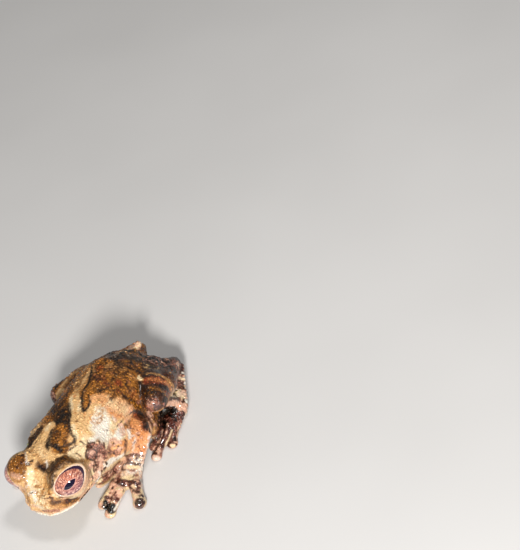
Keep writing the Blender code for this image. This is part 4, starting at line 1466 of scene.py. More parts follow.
@dataclass(frozen=True)
class Coat:
    """All colouring of the skin, worked out for its vertices."""

    frog: Frog
    wobble: float = 0.22

    def warp(self, p: Array) -> Array:
        """Small displacement that roughens the edges of markings.

        Args:
            p: points.

        Returns:
            The displacement of each.
        """
        broad = np.stack([noise(p, 0.9, 11 + i) for i in range(3)], axis=1) - 0.5
        fine = np.stack([noise(p, 0.33, 21 + i, 1) for i in range(3)], axis=1) - 0.5
        return (broad * 2.2 + fine * 0.9) * self.wobble

    def ground(self, p: Array, normals: Array, weights: Fields) -> Array:
        """Base colours blended over the borders of the parts.

        Args:
            p: points.
            normals: their outward directions.
            weights: weight of each part there.

        Returns:
            Linear colours.
        """
        total, colour = np.zeros(len(p)), np.zeros((len(p), 3))
        upward = normals[:, 2]
        for name, weight in weights.items():
            kind = GROUNDS[name.replace("_left", "").replace("_right", "")]
            here = weight > 0.01
            blotched = eased((noise(p[here], kind.scale, 5, 3) - 1 + kind.share) * 6 + 0.5)
            tones = mixed(np.tile(kind.tone.linear, (here.sum(), 1)), kind.blotch.linear, blotched)
            tones = mixed(tones, kind.side.linear, eased((0.35 - upward[here]) / 0.5) * 0.8)
            tones = mixed(tones, kind.under.linear, eased((-0.15 - upward[here]) / 0.4))
            colour[here] += tones * weight[here, None]
            total[here] += weight[here]
        return colour / total[:, None]

    def twin_points(self, mark: Mark) -> Array:
        """The mark's points carried to the other side of the animal.

        Args:
            mark: a mark of the left side.

        Returns:
            Its points on the right side.
        """
        points = np.array(mark.points)
        if mark.part == "body":
            spine = self.frog.spine
            q = spine.straighten(points)
            return np.array([spine.bend((x, -y, z)) for x, y, z in q])
        left, right = self.frog.arms if mark.part == "arm" else self.frog.legs
        result = []
        for point in points:
            away = np.array([np.linalg.norm(point - joint) for joint in left.joints])
            weight = 1 / (away + 0.2) ** 3
            moves = np.array([b - Side.RIGHT.mirror(a) for a, b in zip(left.joints, right.joints)])
            result.append(Side.RIGHT.mirror(point) + weight @ moves / weight.sum())
        return np.array(result)

    def rims(self, colour: Array, p: Array) -> Array:
        """Colours with the pale rims of the lids laid on.

        Args:
            colour: colours so far.
            p: points.

        Returns:
            The new colours.
        """
        q = self.frog.spine.straighten(p)
        for side in Side:
            share, _, along = self.frog.head.opening_parts(q, side)
            on_rim = eased((1.12 - share) / 0.05) * (along > 0)
            colour = mixed(colour, 0.5 * (Ink.PINK.linear + Ink.WHITE.linear), on_rim * 0.85)
        return colour

    def weaves(self, p: Array) -> dict[Weave, Array]:
        """Rank from 0 to 1 of each vertex in the patterns that strokes may be cut to.

        Args:
            p: points.

        Returns:
            The ranks by weave.
        """
        spots, lines = noise(p, 0.55, 41), np.abs(noise(p, 0.85, 47, 3) - 0.5)
        ranks = {}
        for weave, value in ((Weave.SPOTS, -spots), (Weave.LINES, lines)):
            rank = np.empty(len(p))
            rank[np.argsort(value)] = np.linspace(0, 1, len(p))
            ranks[weave] = rank
        return ranks

    def stroke(self, colour: Array, p: Array, cloth: Cloth, points: Array, mark: Mark,
               where: Array) -> Array:
        """Lays one stroke on.

        Args:
            colour: colours so far.
            p: vertices.
            cloth: noise that roughens edges and breaks up the ink.
            points: the stroke's points.
            mark: its ink and width.
            where: share of the ink that each vertex takes.

        Returns:
            The new colours.
        """
        reach = mark.radius + mark.soft + 0.5
        near = np.all((p > points.min(0) - reach) & (p < points.max(0) + reach), axis=1) & (where > 0)
        if not near.any():
            return colour
        q = p[near] + cloth.warp[near] * min(1.0, 0.35 + mark.radius)
        path = points if len(points) > 1 else np.repeat(points, 2, axis=0)
        away = np.min([bone(q, a, b, (mark.radius, mark.radius)) for a, b in zip(path, path[1:])], axis=0)
        share = where[near] * mark.strength * eased(0.5 - away / mark.soft / 2)
        if mark.weave is not Weave.SOLID:
            share *= eased((mark.cover - cloth.ranks[mark.weave][near]) / 0.16 + 0.5)
        colour[near] = mixed(colour[near], mark.ink.linear, share)
        return colour

    def paint(self, p: Array, normals: Array) -> tuple[Array, Array, Array]:
        """Colour, strength of the net and wetness at each vertex.

        Args:
            p: vertices in millimetres.
            normals: their outward directions.

        Returns:
            Linear colours, and two values from 0 to 1.
        """
        fields = self.frog.parts(p)
        nearest = np.min(list(fields.values()), axis=0)
        weights = {name: np.exp(-(value - nearest) / 0.2) for name, value in fields.items()}
        colour = self.ground(p, normals, weights)
        total = sum(weights.values())
        cloth = Cloth(self.warp(p), self.weaves(p))
        right_limbs = sum(weights[name] for name in weights if name.endswith("_right")) / total
        unseen = np.maximum(right_limbs, eased((0.1 - normals @ PHOTOGRAPHED) / 0.25))
        everywhere = np.ones(len(p))
        for mark in MARKS:
            if mark.twin:
                colour = self.stroke(colour, p, cloth, self.twin_points(mark), mark, unseen)
        for mark in MARKS:
            colour = self.stroke(colour, p, cloth, np.array(mark.points), mark, everywhere)
        colour = self.rims(colour, p)
        limbs = sum(weights[name] for name in weights if name not in ("torso", "head")) / total
        net = 0.9 - 0.68 * eased((colour @ LIGHTNESS - 0.08) / 0.3)
        wet = 0.12 + 0.2 * limbs
        for *place, reach in WET_PLACES:
            wet += 0.8 * eased(1.5 - np.linalg.norm(p - np.array(place), axis=1) / reach)
        return colour, net, np.minimum(wet, 1.0)


# Shaders

def maths(operation: str, swapped: bool = False) -> Callable[["Wire", "Wire | float"], "Wire"]:
    """Operator method of Wire for one kind of Math node.

    Args:
        operation: the node's operation.
        swapped: True where the wire stands on the right of a number.

    Returns:
        The method.
    """
    def method(wire: "Wire", other: "Wire | float") -> "Wire":
        """Result of the Math node."""
        return wire.graph.math(operation, *((other, wire) if swapped else (wire, other)))
    return method


class Wire:
    """A shader value that adds Math nodes when it is used in an expression."""

    __add__, __radd__ = maths("ADD"), maths("ADD", swapped=True)
    __sub__, __rsub__ = maths("SUBTRACT"), maths("SUBTRACT", swapped=True)
    __mul__, __rmul__ = maths("MULTIPLY"), maths("MULTIPLY", swapped=True)
    __truediv__, __rtruediv__ = maths("DIVIDE"), maths("DIVIDE", swapped=True)
    __pow__, larger = maths("POWER"), maths("MAXIMUM")

    def __init__(self, graph: "Shading", socket: NodeSocket) -> None:
        """Wraps an output socket of the graph."""
        self.graph, self.socket = graph, socket

    def size(self) -> "Wire":
        """Value without its sign."""
        return self.graph.math("ABSOLUTE", self)

    def step(self, low: float, high: float) -> "Wire":
        """Smooth step from 0 at low to 1 at high; low may be the larger.

        Args:
            low: where it is 0.
            high: where it is 1.

        Returns:
            The stepped value.
        """
        node = self.graph.node("ShaderNodeMapRange", {"Value": self, "From Min": low, "From Max": high},
                               interpolation_type="SMOOTHSTEP")
        return Wire(self.graph, node.outputs["Result"])


class Graph:
    """A node tree, with one method for any node."""

    def __init__(self, tree: NodeTree) -> None:
        """Starts on a tree."""
        self.tree = tree

    def node(self, kind: str, values: dict[str | int, object], **settings: object) -> Node:
        """Adds a node.

        Args:
            kind: the node's type.
            values: numbers, vectors, objects, wires or sockets for the inputs, by name or place.
            settings: properties, set before the sockets.

        Returns:
            The node.
        """
        node = self.tree.nodes.new(kind)
        for key, value in settings.items():
            setattr(node, key, value)
        self.feed(node, values)
        return node

    def feed(self, node: Node, values: dict[str | int, object]) -> None:
        """Links or sets inputs of a node.

        Args:
            node: the node.
            values: what goes into its inputs, by name or place.
        """
        for key, value in values.items():
            if isinstance(value, Wire):
                value = value.socket
            if isinstance(value, NodeSocket):
                self.tree.links.new(value, node.inputs[key])
            else:
                node.inputs[key].default_value = value


class Shading(Graph):
    """Node tree of one material."""

    def __init__(self, name: str) -> None:
        """Starts a material with a bare Principled shader."""
        self.material = bpy.data.materials.new(name)
        self.material.use_nodes = True
        super().__init__(self.material.node_tree)

    def finished(self, values: dict[str | int, object]) -> Material:
        """The material, once its shader's inputs are set."""
        self.feed(self.tree.nodes["Principled BSDF"], values)
        return self.material

    def math(self, operation: str, *values: Wire | float) -> Wire:
        """Adds a Math node."""
        node = self.node("ShaderNodeMath", dict(enumerate(values)), operation=operation)
        return Wire(self, node.outputs[0])

    def attribute(self, name: str, output: str = "Fac") -> Wire:
        """Output of an Attribute node."""
        return Wire(self, self.node("ShaderNodeAttribute", {}, attribute_name=name).outputs[output])

    def split(self, name: str) -> tuple[Wire, Wire]:
        """First two parts of a vector attribute."""
        node = self.node("ShaderNodeSeparateXYZ", {0: self.attribute(name, "Vector")})
        return Wire(self, node.outputs[0]), Wire(self, node.outputs[1])

    def coordinates(self) -> NodeSocket:
        """The piece's own Object coordinates."""
        return self.node("ShaderNodeTexCoord", {}).outputs["Object"]

    def noise(self, place: NodeSocket, size: float, detail: float = 2.0) -> Wire:
        """Noise with lumps of a size in millimetres."""
        values = {"Vector": place, "Scale": 1 / (size * MM), "Detail": detail}
        return Wire(self, self.node("ShaderNodeTexNoise", values).outputs["Fac"])

    def cracks(self, place: NodeSocket, size: float) -> Wire:
        """Cracks between cells.

        Args:
            place: socket with coordinates.
            size: size of a cell in millimetres.

        Returns:
            Distance to the nearest edge, in cells.
        """
        node = self.node("ShaderNodeTexVoronoi", {"Vector": place, "Scale": 1 / (size * MM)},
                         feature="DISTANCE_TO_EDGE")
        return Wire(self, node.outputs["Distance"])

    def tint(self, share: Wire | float, first: object, second: object, blend: str = "MIX") -> NodeSocket:
        """Mix of two colours.

        Args:
            share: how much of the second colour shows.
            first: socket, wire or three numbers.
            second: socket, wire or three numbers.
            blend: the node's way of mixing.

        Returns:
            The mixed colour.
        """
        first, second = ((*tone, 1.0) if isinstance(tone, tuple) else tone for tone in (first, second))
        values = {0: share, 6: first, 7: second}
        return self.node("ShaderNodeMix", values, data_type="RGBA", blend_type=blend).outputs[2]

    def toned(self, colour: object, factors: Point) -> NodeSocket:
        """A colour times a number for each of red, green and blue."""
        return self.tint(1.0, colour, factors, "MULTIPLY")

    def shifted(self, place: NodeSocket, size: float, amount: float) -> NodeSocket:
        """Coordinates stirred by noise.

        Args:
            place: the coordinates.
            size: size of the noise's lumps in millimetres.
            amount: how far it moves a point, in millimetres.

        Returns:
            The new coordinates.
        """
        values = {"Vector": place, "Scale": 1 / (size * MM)}
        moved = self.node("ShaderNodeTexNoise", values).outputs["Color"]
        for operation, given in (("SUBTRACT", {1: (0.5, 0.5, 0.5)}), ("SCALE", {"Scale": amount * MM}),
                                 ("ADD", {1: place})):
            moved = self.node("ShaderNodeVectorMath", {0: moved, **given}, operation=operation).outputs[0]
        return moved

    def relief(self, height: Wire, depth: float) -> NodeSocket:
        """Bump of a depth in millimetres."""
        return self.node("ShaderNodeBump", {"Distance": depth * MM, "Height": height}).outputs["Normal"]


@dataclass(frozen=True)
class SkinFinish:
    """Moist granular skin: painted colour, fine dark lines between the grains and a wet film."""

    name: str = "frog_skin"
    net_size: float = 0.5
    vein_size: float = 0.5
    patch_size: float = 1.3
    speck_size: float = 0.16
    roughness: float = 0.5
    film_roughness: float = 0.06
    depth: float = 0.05
    lined: bool = True                     # whether dark lines run between the grains
    bright: float = 1.0                    # factor on the painted colour
    line_tint: Point = (0.13, 0.075, 0.05)
    crown_tint: Point = (1.5, 1.45, 1.35)  # middle of each cell between the lines
    speck_tint: Point = (0.4, 0.28, 0.2)

    def material(self) -> Material:
        """Builds the material.

        Returns:
            The material, which reads the attributes albedo, net and wet.
        """
        g = Shading(self.name)
        place = g.shifted(g.coordinates(), 0.45, 0.3)
        paint, net, wet = g.attribute("albedo", "Color"), g.attribute("net"), g.attribute("wet")
        edge = g.cracks(place, self.net_size)
        vein = (g.noise(place, self.vein_size) - 0.5).size()
        patches = g.noise(g.coordinates(), self.patch_size).step(0.25, 0.6) * 0.65 + 0.35
        lines = edge.step(0.2, 0.02).larger(vein.step(0.05, 0.01)) * patches
        speck = g.noise(place, self.speck_size, 1.0)
        colour = paint if self.bright == 1.0 else g.toned(paint, (self.bright,) * 3)
        if self.lined:
            colour = g.tint(lines * net, colour, g.toned(paint, self.line_tint))
            colour = g.tint(edge.step(0.25, 0.5) * 0.3, colour, g.toned(colour, self.crown_tint))
        colour = g.tint(speck.step(0.6, 0.72) * net * 0.5, colour, g.toned(colour, self.speck_tint))
        return g.finished({
            "Base Color": colour, "Roughness": self.roughness - 0.36 * wet + 0.1 * (speck - 0.5),
            "Specular IOR Level": 0.3, "Coat Weight": wet, "Coat Roughness": self.film_roughness,
            "Coat IOR": 1.8, "Subsurface Weight": 0.12, "Subsurface Scale": 0.4 * MM,
            "Subsurface Radius": (1.0, 0.4, 0.25),
            "Normal": g.relief(edge.step(0.0, 0.3) + speck * 0.5, self.depth)})


# Pieces

def placed(name: str, data: ID) -> Object:
    """A new object in the scene.

    Args:
        name: name of the object.
        data: its mesh, light or camera.

    Returns:
        The object, linked to the scene.
    """
    item = bpy.data.objects.new(name, data)
    bpy.context.scene.collection.objects.link(item)
    return item


def mesh_object(name: str, points: Array | Sequence[Point], faces: Faces) -> Object:
    """A smooth mesh object.

    Args:
        name: name of the object and its mesh.
        points: the vertices in metres.
        faces: vertex numbers of each face.

    Returns:
        The object.
    """
    mesh = bpy.data.meshes.new(name)
    mesh.from_pydata(np.asarray(points).tolist(), [], faces)
    mesh.validate()
    mesh.shade_smooth()
    return placed(name, mesh)


def store(piece: Object, name: str, values: Array) -> None:
    """Writes a point attribute.

    Args:
        piece: the object.
        name: the attribute's name.
        values: one number, three of a vector or four of a colour for each vertex.
    """
    width = values.shape[1] if values.ndim > 1 else 1
    kind, key = {1: ("FLOAT", "value"), 3: ("FLOAT_VECTOR", "vector"), 4: ("FLOAT_COLOR", "color")}[width]
    attribute = piece.data.attributes.new(name, kind, "POINT")
    attribute.data.foreach_set(key, np.ascontiguousarray(values, np.float32).reshape(-1))


def evaluated(piece: Object) -> Mesh:
    """An object's mesh with its modifiers worked in."""
    return bpy.data.meshes.new_from_object(piece.evaluated_get(bpy.context.evaluated_depsgraph_get()))


@dataclass
class Skin:
    """The one skin that stands for every node of flesh."""

    frog: Frog
    coat: Coat
    finish: SkinFinish = SkinFinish()
    voxel: float = 0.15
    block: int = 4
    triangles: int = 190000
    low: Point = (-17.0, -12.5, -0.8)
    high: Point = (16.5, 11.8, 12.8)
    granule: float = 0.5
    granule_height: float = 0.06
    crease_depth: float = 0.045
    film_swell: float = 0.2                # soft swells under the water film
    lump_height: float = 0.12
    slope_step: float = 0.02               # distance over which the field's slope is measured

    def sampled(self) -> Array:
        """The field on a regular grid, worked out only near the surface.

        Returns:
            Distances, cut off at three voxels.
        """
        band, step = 3 * self.voxel, self.voxel * self.block
        count = np.ceil((np.array(self.high) - np.array(self.low)) / step).astype(int)
        index = np.stack(np.meshgrid(*(np.arange(n) for n in count), indexing="ij"), -1).reshape(-1, 3)
        centre = np.array(self.low) + (index + 0.5) * step - self.voxel / 2
        coarse = self.frog.field(centre)
        sign = np.where(coarse > 0, band, -band).reshape(count)
        grid = sign.repeat(self.block, 0).repeat(self.block, 1).repeat(self.block, 2).astype(np.float32)
        near = index[np.abs(coarse) < step * 1.35]
        inner = np.stack(np.meshgrid(*(np.arange(self.block),) * 3, indexing="ij"), -1).reshape(-1, 3)
        fine = (near[:, None] * self.block + inner[None]).reshape(-1, 3)
        values = np.concatenate([self.frog.field(np.array(self.low) + part * self.voxel)
                                 for part in np.array_split(fine, max(len(fine) // 200000, 1))])
        grid[fine[:, 0], fine[:, 1], fine[:, 2]] = np.clip(values, -band, band)
        return grid

    def gradient(self, p: Array, value: Array) -> Array:
        """Slope of the field at each point."""
        step = self.slope_step
        return np.stack([(self.frog.field(p + step * way) - value) / step for way in np.eye(3)], axis=1)

    def thinned(self, points: Array, faces: Faces) -> tuple[Array, Faces]:
        """The mesh with fewer faces on the underside, so that it keeps to its number of triangles.

        Args:
            points: vertices, one a row.
            faces: vertex numbers of each face.

        Returns:
            The new vertices and faces.
        """
        total = sum(len(face) - 2 for face in faces)
        if total <= self.triangles:
            return points, faces
        helper = mesh_object("raw_skin", points, faces)
        group = helper.vertex_groups.new(name="underside")
        normals = np.empty(len(points) * 3)
        helper.data.vertices.foreach_get("normal", normals)
        low = (normals.reshape(-1, 3)[:, 2] < -0.35) | (points[:, 2] < 0.25)
        group.add(np.nonzero(low)[0].tolist(), 1.0, "REPLACE")
        thin = helper.modifiers.new("thin", "DECIMATE")
        thin.vertex_group, thin.vertex_group_factor, thin.ratio = group.name, 10.0, self.triangles / total
        result = evaluated(helper)
        points = np.empty(len(result.vertices) * 3)
        result.vertices.foreach_get("co", points)
        faces = [tuple(polygon.vertices) for polygon in result.polygons]
        bpy.data.objects.remove(helper)
        bpy.data.meshes.remove(result)
        return points.reshape(-1, 3), faces

    def surface(self) -> tuple[Array, Faces, Array]:
        """Vertices brought exactly onto the body, faces and outward directions.

        Returns:
            The three.
        """
        volume = openvdb.FloatGrid(3 * self.voxel)
        volume.copyFromArray(np.ascontiguousarray(self.sampled()))
        points, triangles, quads = volume.convertToPolygons(0.0, 0.0)
        points = points * self.voxel + np.array(self.low)
        faces = [tuple(face[::-1]) for group in (quads, triangles) for face in group.tolist()]
        points, faces = self.thinned(points, faces)
        for _ in range(2):
            value = self.frog.field(points)
            slope = self.gradient(points, value)
            square = np.maximum((slope ** 2).sum(axis=1), 0.25)
            move = slope * (value / square)[:, None]
            length = np.linalg.norm(move, axis=1, keepdims=True)
            points = points - move * np.minimum(1.0, self.voxel / np.maximum(length, 1e-9))
        normals = slope / np.maximum(np.linalg.norm(slope, axis=1, keepdims=True), 1e-9)
        return points, faces, normals

    def relief(self, p: Array, normals: Array, film: Array) -> Array:
        """Height of the granules over the smooth body, drowned where the water film is thick.

        Args:
            p: points.
            normals: their outward directions.
            film: thickness of the water, 0 to 1.

        Returns:
            The height at each point.
        """
        first, second = cells(p, self.granule, 3)
        bumps = eased((second - first) * 1.6) - 0.6
        smooth = 1 - self.bare(p)
        broad = noise(p, 1.6, 8) - 0.5
        above = eased((normals[:, 2] + 0.6) / 0.8) * eased(p[:, 2] / 1.2)
        q = self.frog.spine.straighten(p)
        creased = np.abs(noise(q * np.array((1.0, 0.55, 1.0)), 1.1, 71, 3) - 0.5)
        snout = eased((q[:, 0] - 6.0) / 3.0)
        creases = eased(1 - creased / 0.07) * (0.35 + 0.65 * snout)
        swell = noise(p, 0.8, 15, 1) - 0.5
        fine = bumps * self.granule_height - creases * self.crease_depth
        high = fine * (1 - 0.6 * film) + swell * self.film_swell * film + broad * self.lump_height
        return high * smooth * above

    def bare(self, p: Array) -> Array:
        """1 over the eye openings and their rims, 0 elsewhere.

        Args:
            p: points.

        Returns:
            The value at each point.
        """
        q = self.frog.spine.straighten(p)
        result = np.zeros(len(p))
        for side in Side:
            share, _, along = self.frog.head.opening_parts(q, side)
            result = np.maximum(result, eased((1.5 - share) / 0.3) * eased(along + 0.5))
        return result

    def grain_share(self, p: Array, normals: Array, colour: Array, film: Array) -> Array:
        """How densely grains stand at each vertex: fewer on pale and on wet skin.

        Args:
            p: points.
            normals: their outward directions.
            colour: linear colours.
            film: thickness of the water, 0 to 1.

        Returns:
            The density, 0 to 1.
        """
        fields = self.frog.parts(p)
        digits = np.minimum.reduce([fields[name] for name in fields if name.startswith(("hand", "foot"))])
        arms = np.minimum.reduce([fields[name] for name in fields if "arm" in name])
        share = eased((normals[:, 2] + 0.35) / 0.5) * eased((p[:, 2] - 0.8) / 1.5)
        share *= eased(digits / 0.6 + 0.2) * (0.3 + 0.7 * eased(arms / 0.8 + 0.1))
        share *= (1 - 0.55 * eased((colour @ LIGHTNESS - 0.22) / 0.2)) * (1 - 0.85 * film)
        return share * (1 - self.bare(p)) * (0.35 + 0.65 * eased((noise(p, 1.8, 61) - 0.35) / 0.25))

    def build(self) -> Object:
        """Makes the skin.

        Returns:
            The skin.
        """
        points, faces, normals = self.surface()
        colour, net, wet = self.coat.paint(points, normals)
        film = eased((wet - 0.4) / 0.5)
        shape = points + normals * self.relief(points, normals, film)[:, None]
        shape[:, 2] = np.maximum(shape[:, 2], 0.0)
        piece = mesh_object("skin", (shape + ORIGIN) * MM, faces)
        store(piece, "albedo", np.column_stack((colour, np.ones(len(colour)))))
        store(piece, "net", net)
        store(piece, "wet", wet)
        store(piece, "grain", self.grain_share(points, normals, colour, film))
        piece.data.materials.append(self.finish.material())
        return piece


@dataclass
class Grains:
    """Low round grains set over the back, lids and limbs."""

    spacing: float = 0.36                  # least distance between two grains
    radius: float = 0.18
    height: float = 0.4                    # height as a share of the radius
    smallest: float = 0.4
    seed: int = 11
    sides: int = 7
    finish: SkinFinish = SkinFinish(name="frog_grains", lined=False, bright=1.2, depth=0.01)

    def grain(self) -> Object:
        """One closed dome of radius 1, with its base sunk below zero.

        Returns:
            The dome.
        """
        rings = ((1.0, -0.35), (0.95, 0.0), (0.6, 0.35 + 0.5 * self.height))
        points = [(0.0, 0.0, self.height + 0.28)]
        turns = [math.tau * i / self.sides for i in range(self.sides)]
        for reach, z in rings[::-1]:
            points += [(reach * math.cos(t), reach * math.sin(t), z) for t in turns]
        n = self.sides
        faces = [(0, 1 + i, 1 + (i + 1) % n) for i in range(n)]
        for ring in range(len(rings) - 1):
            a = 1 + ring * n
            faces += [(a + i, a + n + i, a + n + (i + 1) % n, a + (i + 1) % n) for i in range(n)]
        last = 1 + (len(rings) - 1) * n
        faces.append(tuple(last + i for i in reversed(range(n))))
        return mesh_object("grain", points, faces)

    def tree(self, grain: Object) -> GeometryNodeTree:
        """Node tree that scatters the grain over a surface.

        Args:
            grain: what is scattered.

        Returns:
            The tree.
        """
        tree = bpy.data.node_groups.new("scatter_grains", "GeometryNodeTree")
        for name, way, kind in (("Geometry", "INPUT", "Geometry"), ("Spacing", "INPUT", "Float"),
                                ("Radius", "INPUT", "Float"), ("Smallest", "INPUT", "Float"),
                                ("Seed", "INPUT", "Int"), ("Geometry", "OUTPUT", "Geometry")):
            tree.interface.new_socket(name, in_out=way, socket_type="NodeSocket" + kind)
        node = Graph(tree).node
        given = node("NodeGroupInput", {}).outputs
        share = node("GeometryNodeInputNamedAttribute", {"Name": "grain"}, data_type="FLOAT")
        spread = node("GeometryNodeDistributePointsOnFaces",
                      {"Mesh": given["Geometry"], "Distance Min": given["Spacing"], "Density Max": 2.0e7,
                       "Density Factor": share.outputs[0], "Seed": given["Seed"]},
                      distribute_method="POISSON")
        size = node("FunctionNodeRandomValue", {2: given["Smallest"], 3: 1.0, "Seed": given["Seed"]},
                    data_type="FLOAT")
        width = node("ShaderNodeMath", {0: size.outputs[1], 1: given["Radius"]}, operation="MULTIPLY")
        one = node("GeometryNodeObjectInfo", {"Object": grain})
        copies = node("GeometryNodeInstanceOnPoints",
                      {"Points": spread.outputs["Points"], "Instance": one.outputs["Geometry"],
                       "Rotation": spread.outputs["Rotation"], "Scale": width.outputs[0]})
        solid = node("GeometryNodeRealizeInstances", {"Geometry": copies.outputs["Instances"]})
        dressed = node("GeometryNodeSetMaterial",
                       {"Geometry": solid.outputs["Geometry"], "Material": self.finish.material()})
        node("NodeGroupOutput", {"Geometry": dressed.outputs["Geometry"]})
        return tree

    def build(self, skin: Object) -> Object:
        """Scatters the grains over the skin.

        Args:
            skin: the finished skin, with the attribute "grain" for how dense they stand.

        Returns:
            The grains as one plain mesh.
        """
        grain = self.grain()
        holder = placed("grain_holder", skin.data)
        modifier = holder.modifiers.new("scatter", "NODES")
        modifier.node_group = self.tree(grain)
        values = {"Spacing": self.spacing * MM, "Radius": self.radius * MM, "Smallest": self.smallest,
                  "Seed": self.seed}
        for item in modifier.node_group.interface.items_tree:
            if item.in_out == "INPUT" and item.name in values:
                modifier[item.identifier] = values[item.name]
        mesh = evaluated(holder)
        mesh.name = "grains"
        bpy.data.objects.remove(holder)
        bpy.data.objects.remove(grain)
        return placed("grains", mesh)


@dataclass(frozen=True)
class EyeFinish:
    """Iris with a fine net of veins, a lens-shaped pupil and a wet cornea."""

    name: str = "frog_eye"
    pupil: Point = (1.06, 0.4)             # half length and half height
    ray_size: float = 0.14                 # width of the fibres as a share of the way round
    copper: Point = (0.55, 0.215, 0.13)    # upper side of the iris
    mauve: Point = (0.28, 0.13, 0.14)      # lower side
    pale_fibre: Point = (0.82, 0.5, 0.38)
    dark_fibre: Point = (0.16, 0.035, 0.035)
    vein: Point = (0.09, 0.02, 0.03)
    ring: Point = (0.5, 0.25, 0.22)        # pale line round the pupil
    border: Point = (0.12, 0.04, 0.05)     # dark edge of the iris along the lids, partly painted shade where the lids overlap the ball
    crescent: Point = (0.02, 0.008, 0.03)  # shadow under the lids' rear end
    haze: Point = (0.14, 0.13, 0.14)       # painted reflection: greyish band across the right eye's cornea
    black: Point = (0.006, 0.004, 0.016)

    def material(self) -> Material:
        """Builds the material.

        Returns:
            The material, which reads the attributes gaze, lids and haze; the last is a painted reflection
            on the right eye.
        """
        g = Shading(self.name)
        x, y = g.split("gaze")
        u, v = g.split("lids")
        reach = (x * x + y * y + 0.02) ** 0.5
        rays = g.node("ShaderNodeCombineXYZ", {0: x / reach, 1: y / reach, 2: reach * 0.35}).outputs[0]
        fibres = g.noise(rays, self.ray_size / MM, 3.0)
        veins = (g.noise(g.coordinates(), 0.42, 4.0) - 0.5).size().step(0.06, 0.0)
        lens = (1.0 - (x / self.pupil[0]).size() ** 2.5) * self.pupil[1] - y.size()
        edge = (u * u + v * v) ** 0.5
        shadow = ((u - 0.28) * (u - 0.28) + (v + 0.05) * (v + 0.05)) ** 0.5
        iris = g.tint((y + 0.3).step(-1.2, 0.9), self.mauve, self.copper)
        for share, colour in ((fibres.step(0.5, 0.64) * 0.8, self.pale_fibre),
                              (fibres.step(0.49, 0.38) * 0.75, self.dark_fibre),
                              (veins * 0.8, self.vein), (lens.step(-0.13, -0.02), self.ring),
                              # dark iris edge and painted shade along the lids
                              (edge.step(0.9, 1.0) * 0.6, self.border),
                              (shadow.step(1.05, 1.13), self.crescent),
                              (g.attribute("haze"), self.haze), (lens.step(-0.03, 0.03), self.black)):
            iris = g.tint(share, iris, colour)
        return g.finished({
            "Base Color": iris, "Roughness": 0.6, "Specular IOR Level": 0.0, "Coat Weight": 1.0,
            "Coat Roughness": 0.03, "Sheen Weight": 0.25, "Sheen Roughness": 0.35,
            "Sheen Tint": (0.5, 0.72, 1.0, 1.0), "Normal": g.relief(fibres, 0.03)})


@dataclass
class Eye:
    """One eyeball, seen between its lids."""

    frog: Frog
    side: Side
    material: Material
    gaze: Point = (0.644, 0.574, 0.451)    # direction of the left pupil
    rings: int = 56
    segments: int = 112
    spread: float = 1.15                   # angle from the axis to the ball's cut edge
    tuck: float = 0.07                     # share by which the ball shrinks behind the lids
    # strength of the painted reflection laid on the right eye's cornea
    haze: float = 0.4

    def build(self) -> Object:
        """Makes the ball.

        Returns:
            The eyeball.
        """
        head, spine = self.frog.head, self.frog.spine
        ahead, upward, axis = head.eye_frame(self.side)
        centre = spine.bend(head.eye_centre(self.side)) + axis * head.eye_out
        tilt = self.spread * np.arange(1, self.rings + 1)[:, None, None] / self.rings
        turn = math.tau * np.arange(self.segments)[:, None] / self.segments
        flat = ahead * np.cos(turn) - upward * self.side.value * np.sin(turn)
        directions = np.vstack((axis, (axis * np.cos(tilt) + flat * np.sin(tilt)).reshape(-1, 3)))
        level = math.sqrt(1 - (0.5 * sum(head.opening) / head.ball_radius) ** 2)
        dome = eased((directions @ axis - level) / (1 - level)) * head.cornea
        off = directions * head.ball_radius
        share = np.hypot(*self.across(off))
        off = off * (1 - self.tuck * eased((share - 1.06) / 0.3))[:, None] + axis * dome[:, None]
        off = np.vstack((off, axis * math.cos(self.spread) * head.ball_radius * 0.98))
        faces = self.faces(len(off) - 1)
        piece = mesh_object("eyeball_" + self.side.word, (centre + off + ORIGIN) * MM, faces)
        self.mark(piece, off)
        piece.data.materials.append(self.material)
        return piece

    def across(self, off: Array) -> tuple[Array, Array]:
        """Places in the opening.

        Args:
            off: points, seen from the eye's middle.

        Returns:
            Places forward and upward from the opening's middle, as shares of its half sizes.
        """
        head = self.frog.head
        ahead, upward, _ = head.eye_frame(self.side)
        return off @ ahead / head.opening[0], (off @ upward - head.opening_rise) / head.opening[1]

    def faces(self, last: int) -> Faces:
        """Rings of quads closed by a flat back.

        Args:
            last: number of the vertex in the middle of the back.

        Returns:
            Vertex numbers of each face.
        """
        n, faces = self.segments, []
        for j in range(n):
            k = (j + 1) % n
            starts = [1 + i * n for i in range(self.rings)]
            faces.append((0, 1 + j, 1 + k))
            faces += [(a + j, b + j, b + k, a + k) for a, b in zip(starts, starts[1:])]
            faces.append((starts[-1] + j, last, starts[-1] + k))
        return faces

    def mark(self, piece: Object, off: Array) -> None:
        """Stores places across the pupil and across the opening, in millimetres and shares.

        Args:
            piece: the eyeball.
            off: its vertices seen from its middle.
        """
        head = self.frog.head
        ahead, upward, axis = head.eye_frame(self.side)
        far = self.side is Side.RIGHT
        look = unit(axis + 0.1 * ahead) if far else unit(self.gaze)
        fore, up = (unit(way - look * (look @ way)) for way in (ahead, upward))
        # Painted reflection: a greyish band on the right eye where its cornea is seen nearly edge-on from
        # the camera side.
        facing = off @ PHOTOGRAPHED / head.ball_radius
        band = eased((facing + 0.15) / 0.15) * eased((0.5 - facing) / 0.3)
        zero = np.zeros(len(off))
        store(piece, "haze", far * self.haze * band)
        store(piece, "gaze", np.column_stack((off @ fore, off @ up, zero)))
        store(piece, "lids", np.column_stack((*self.across(off), zero)))


# Studio

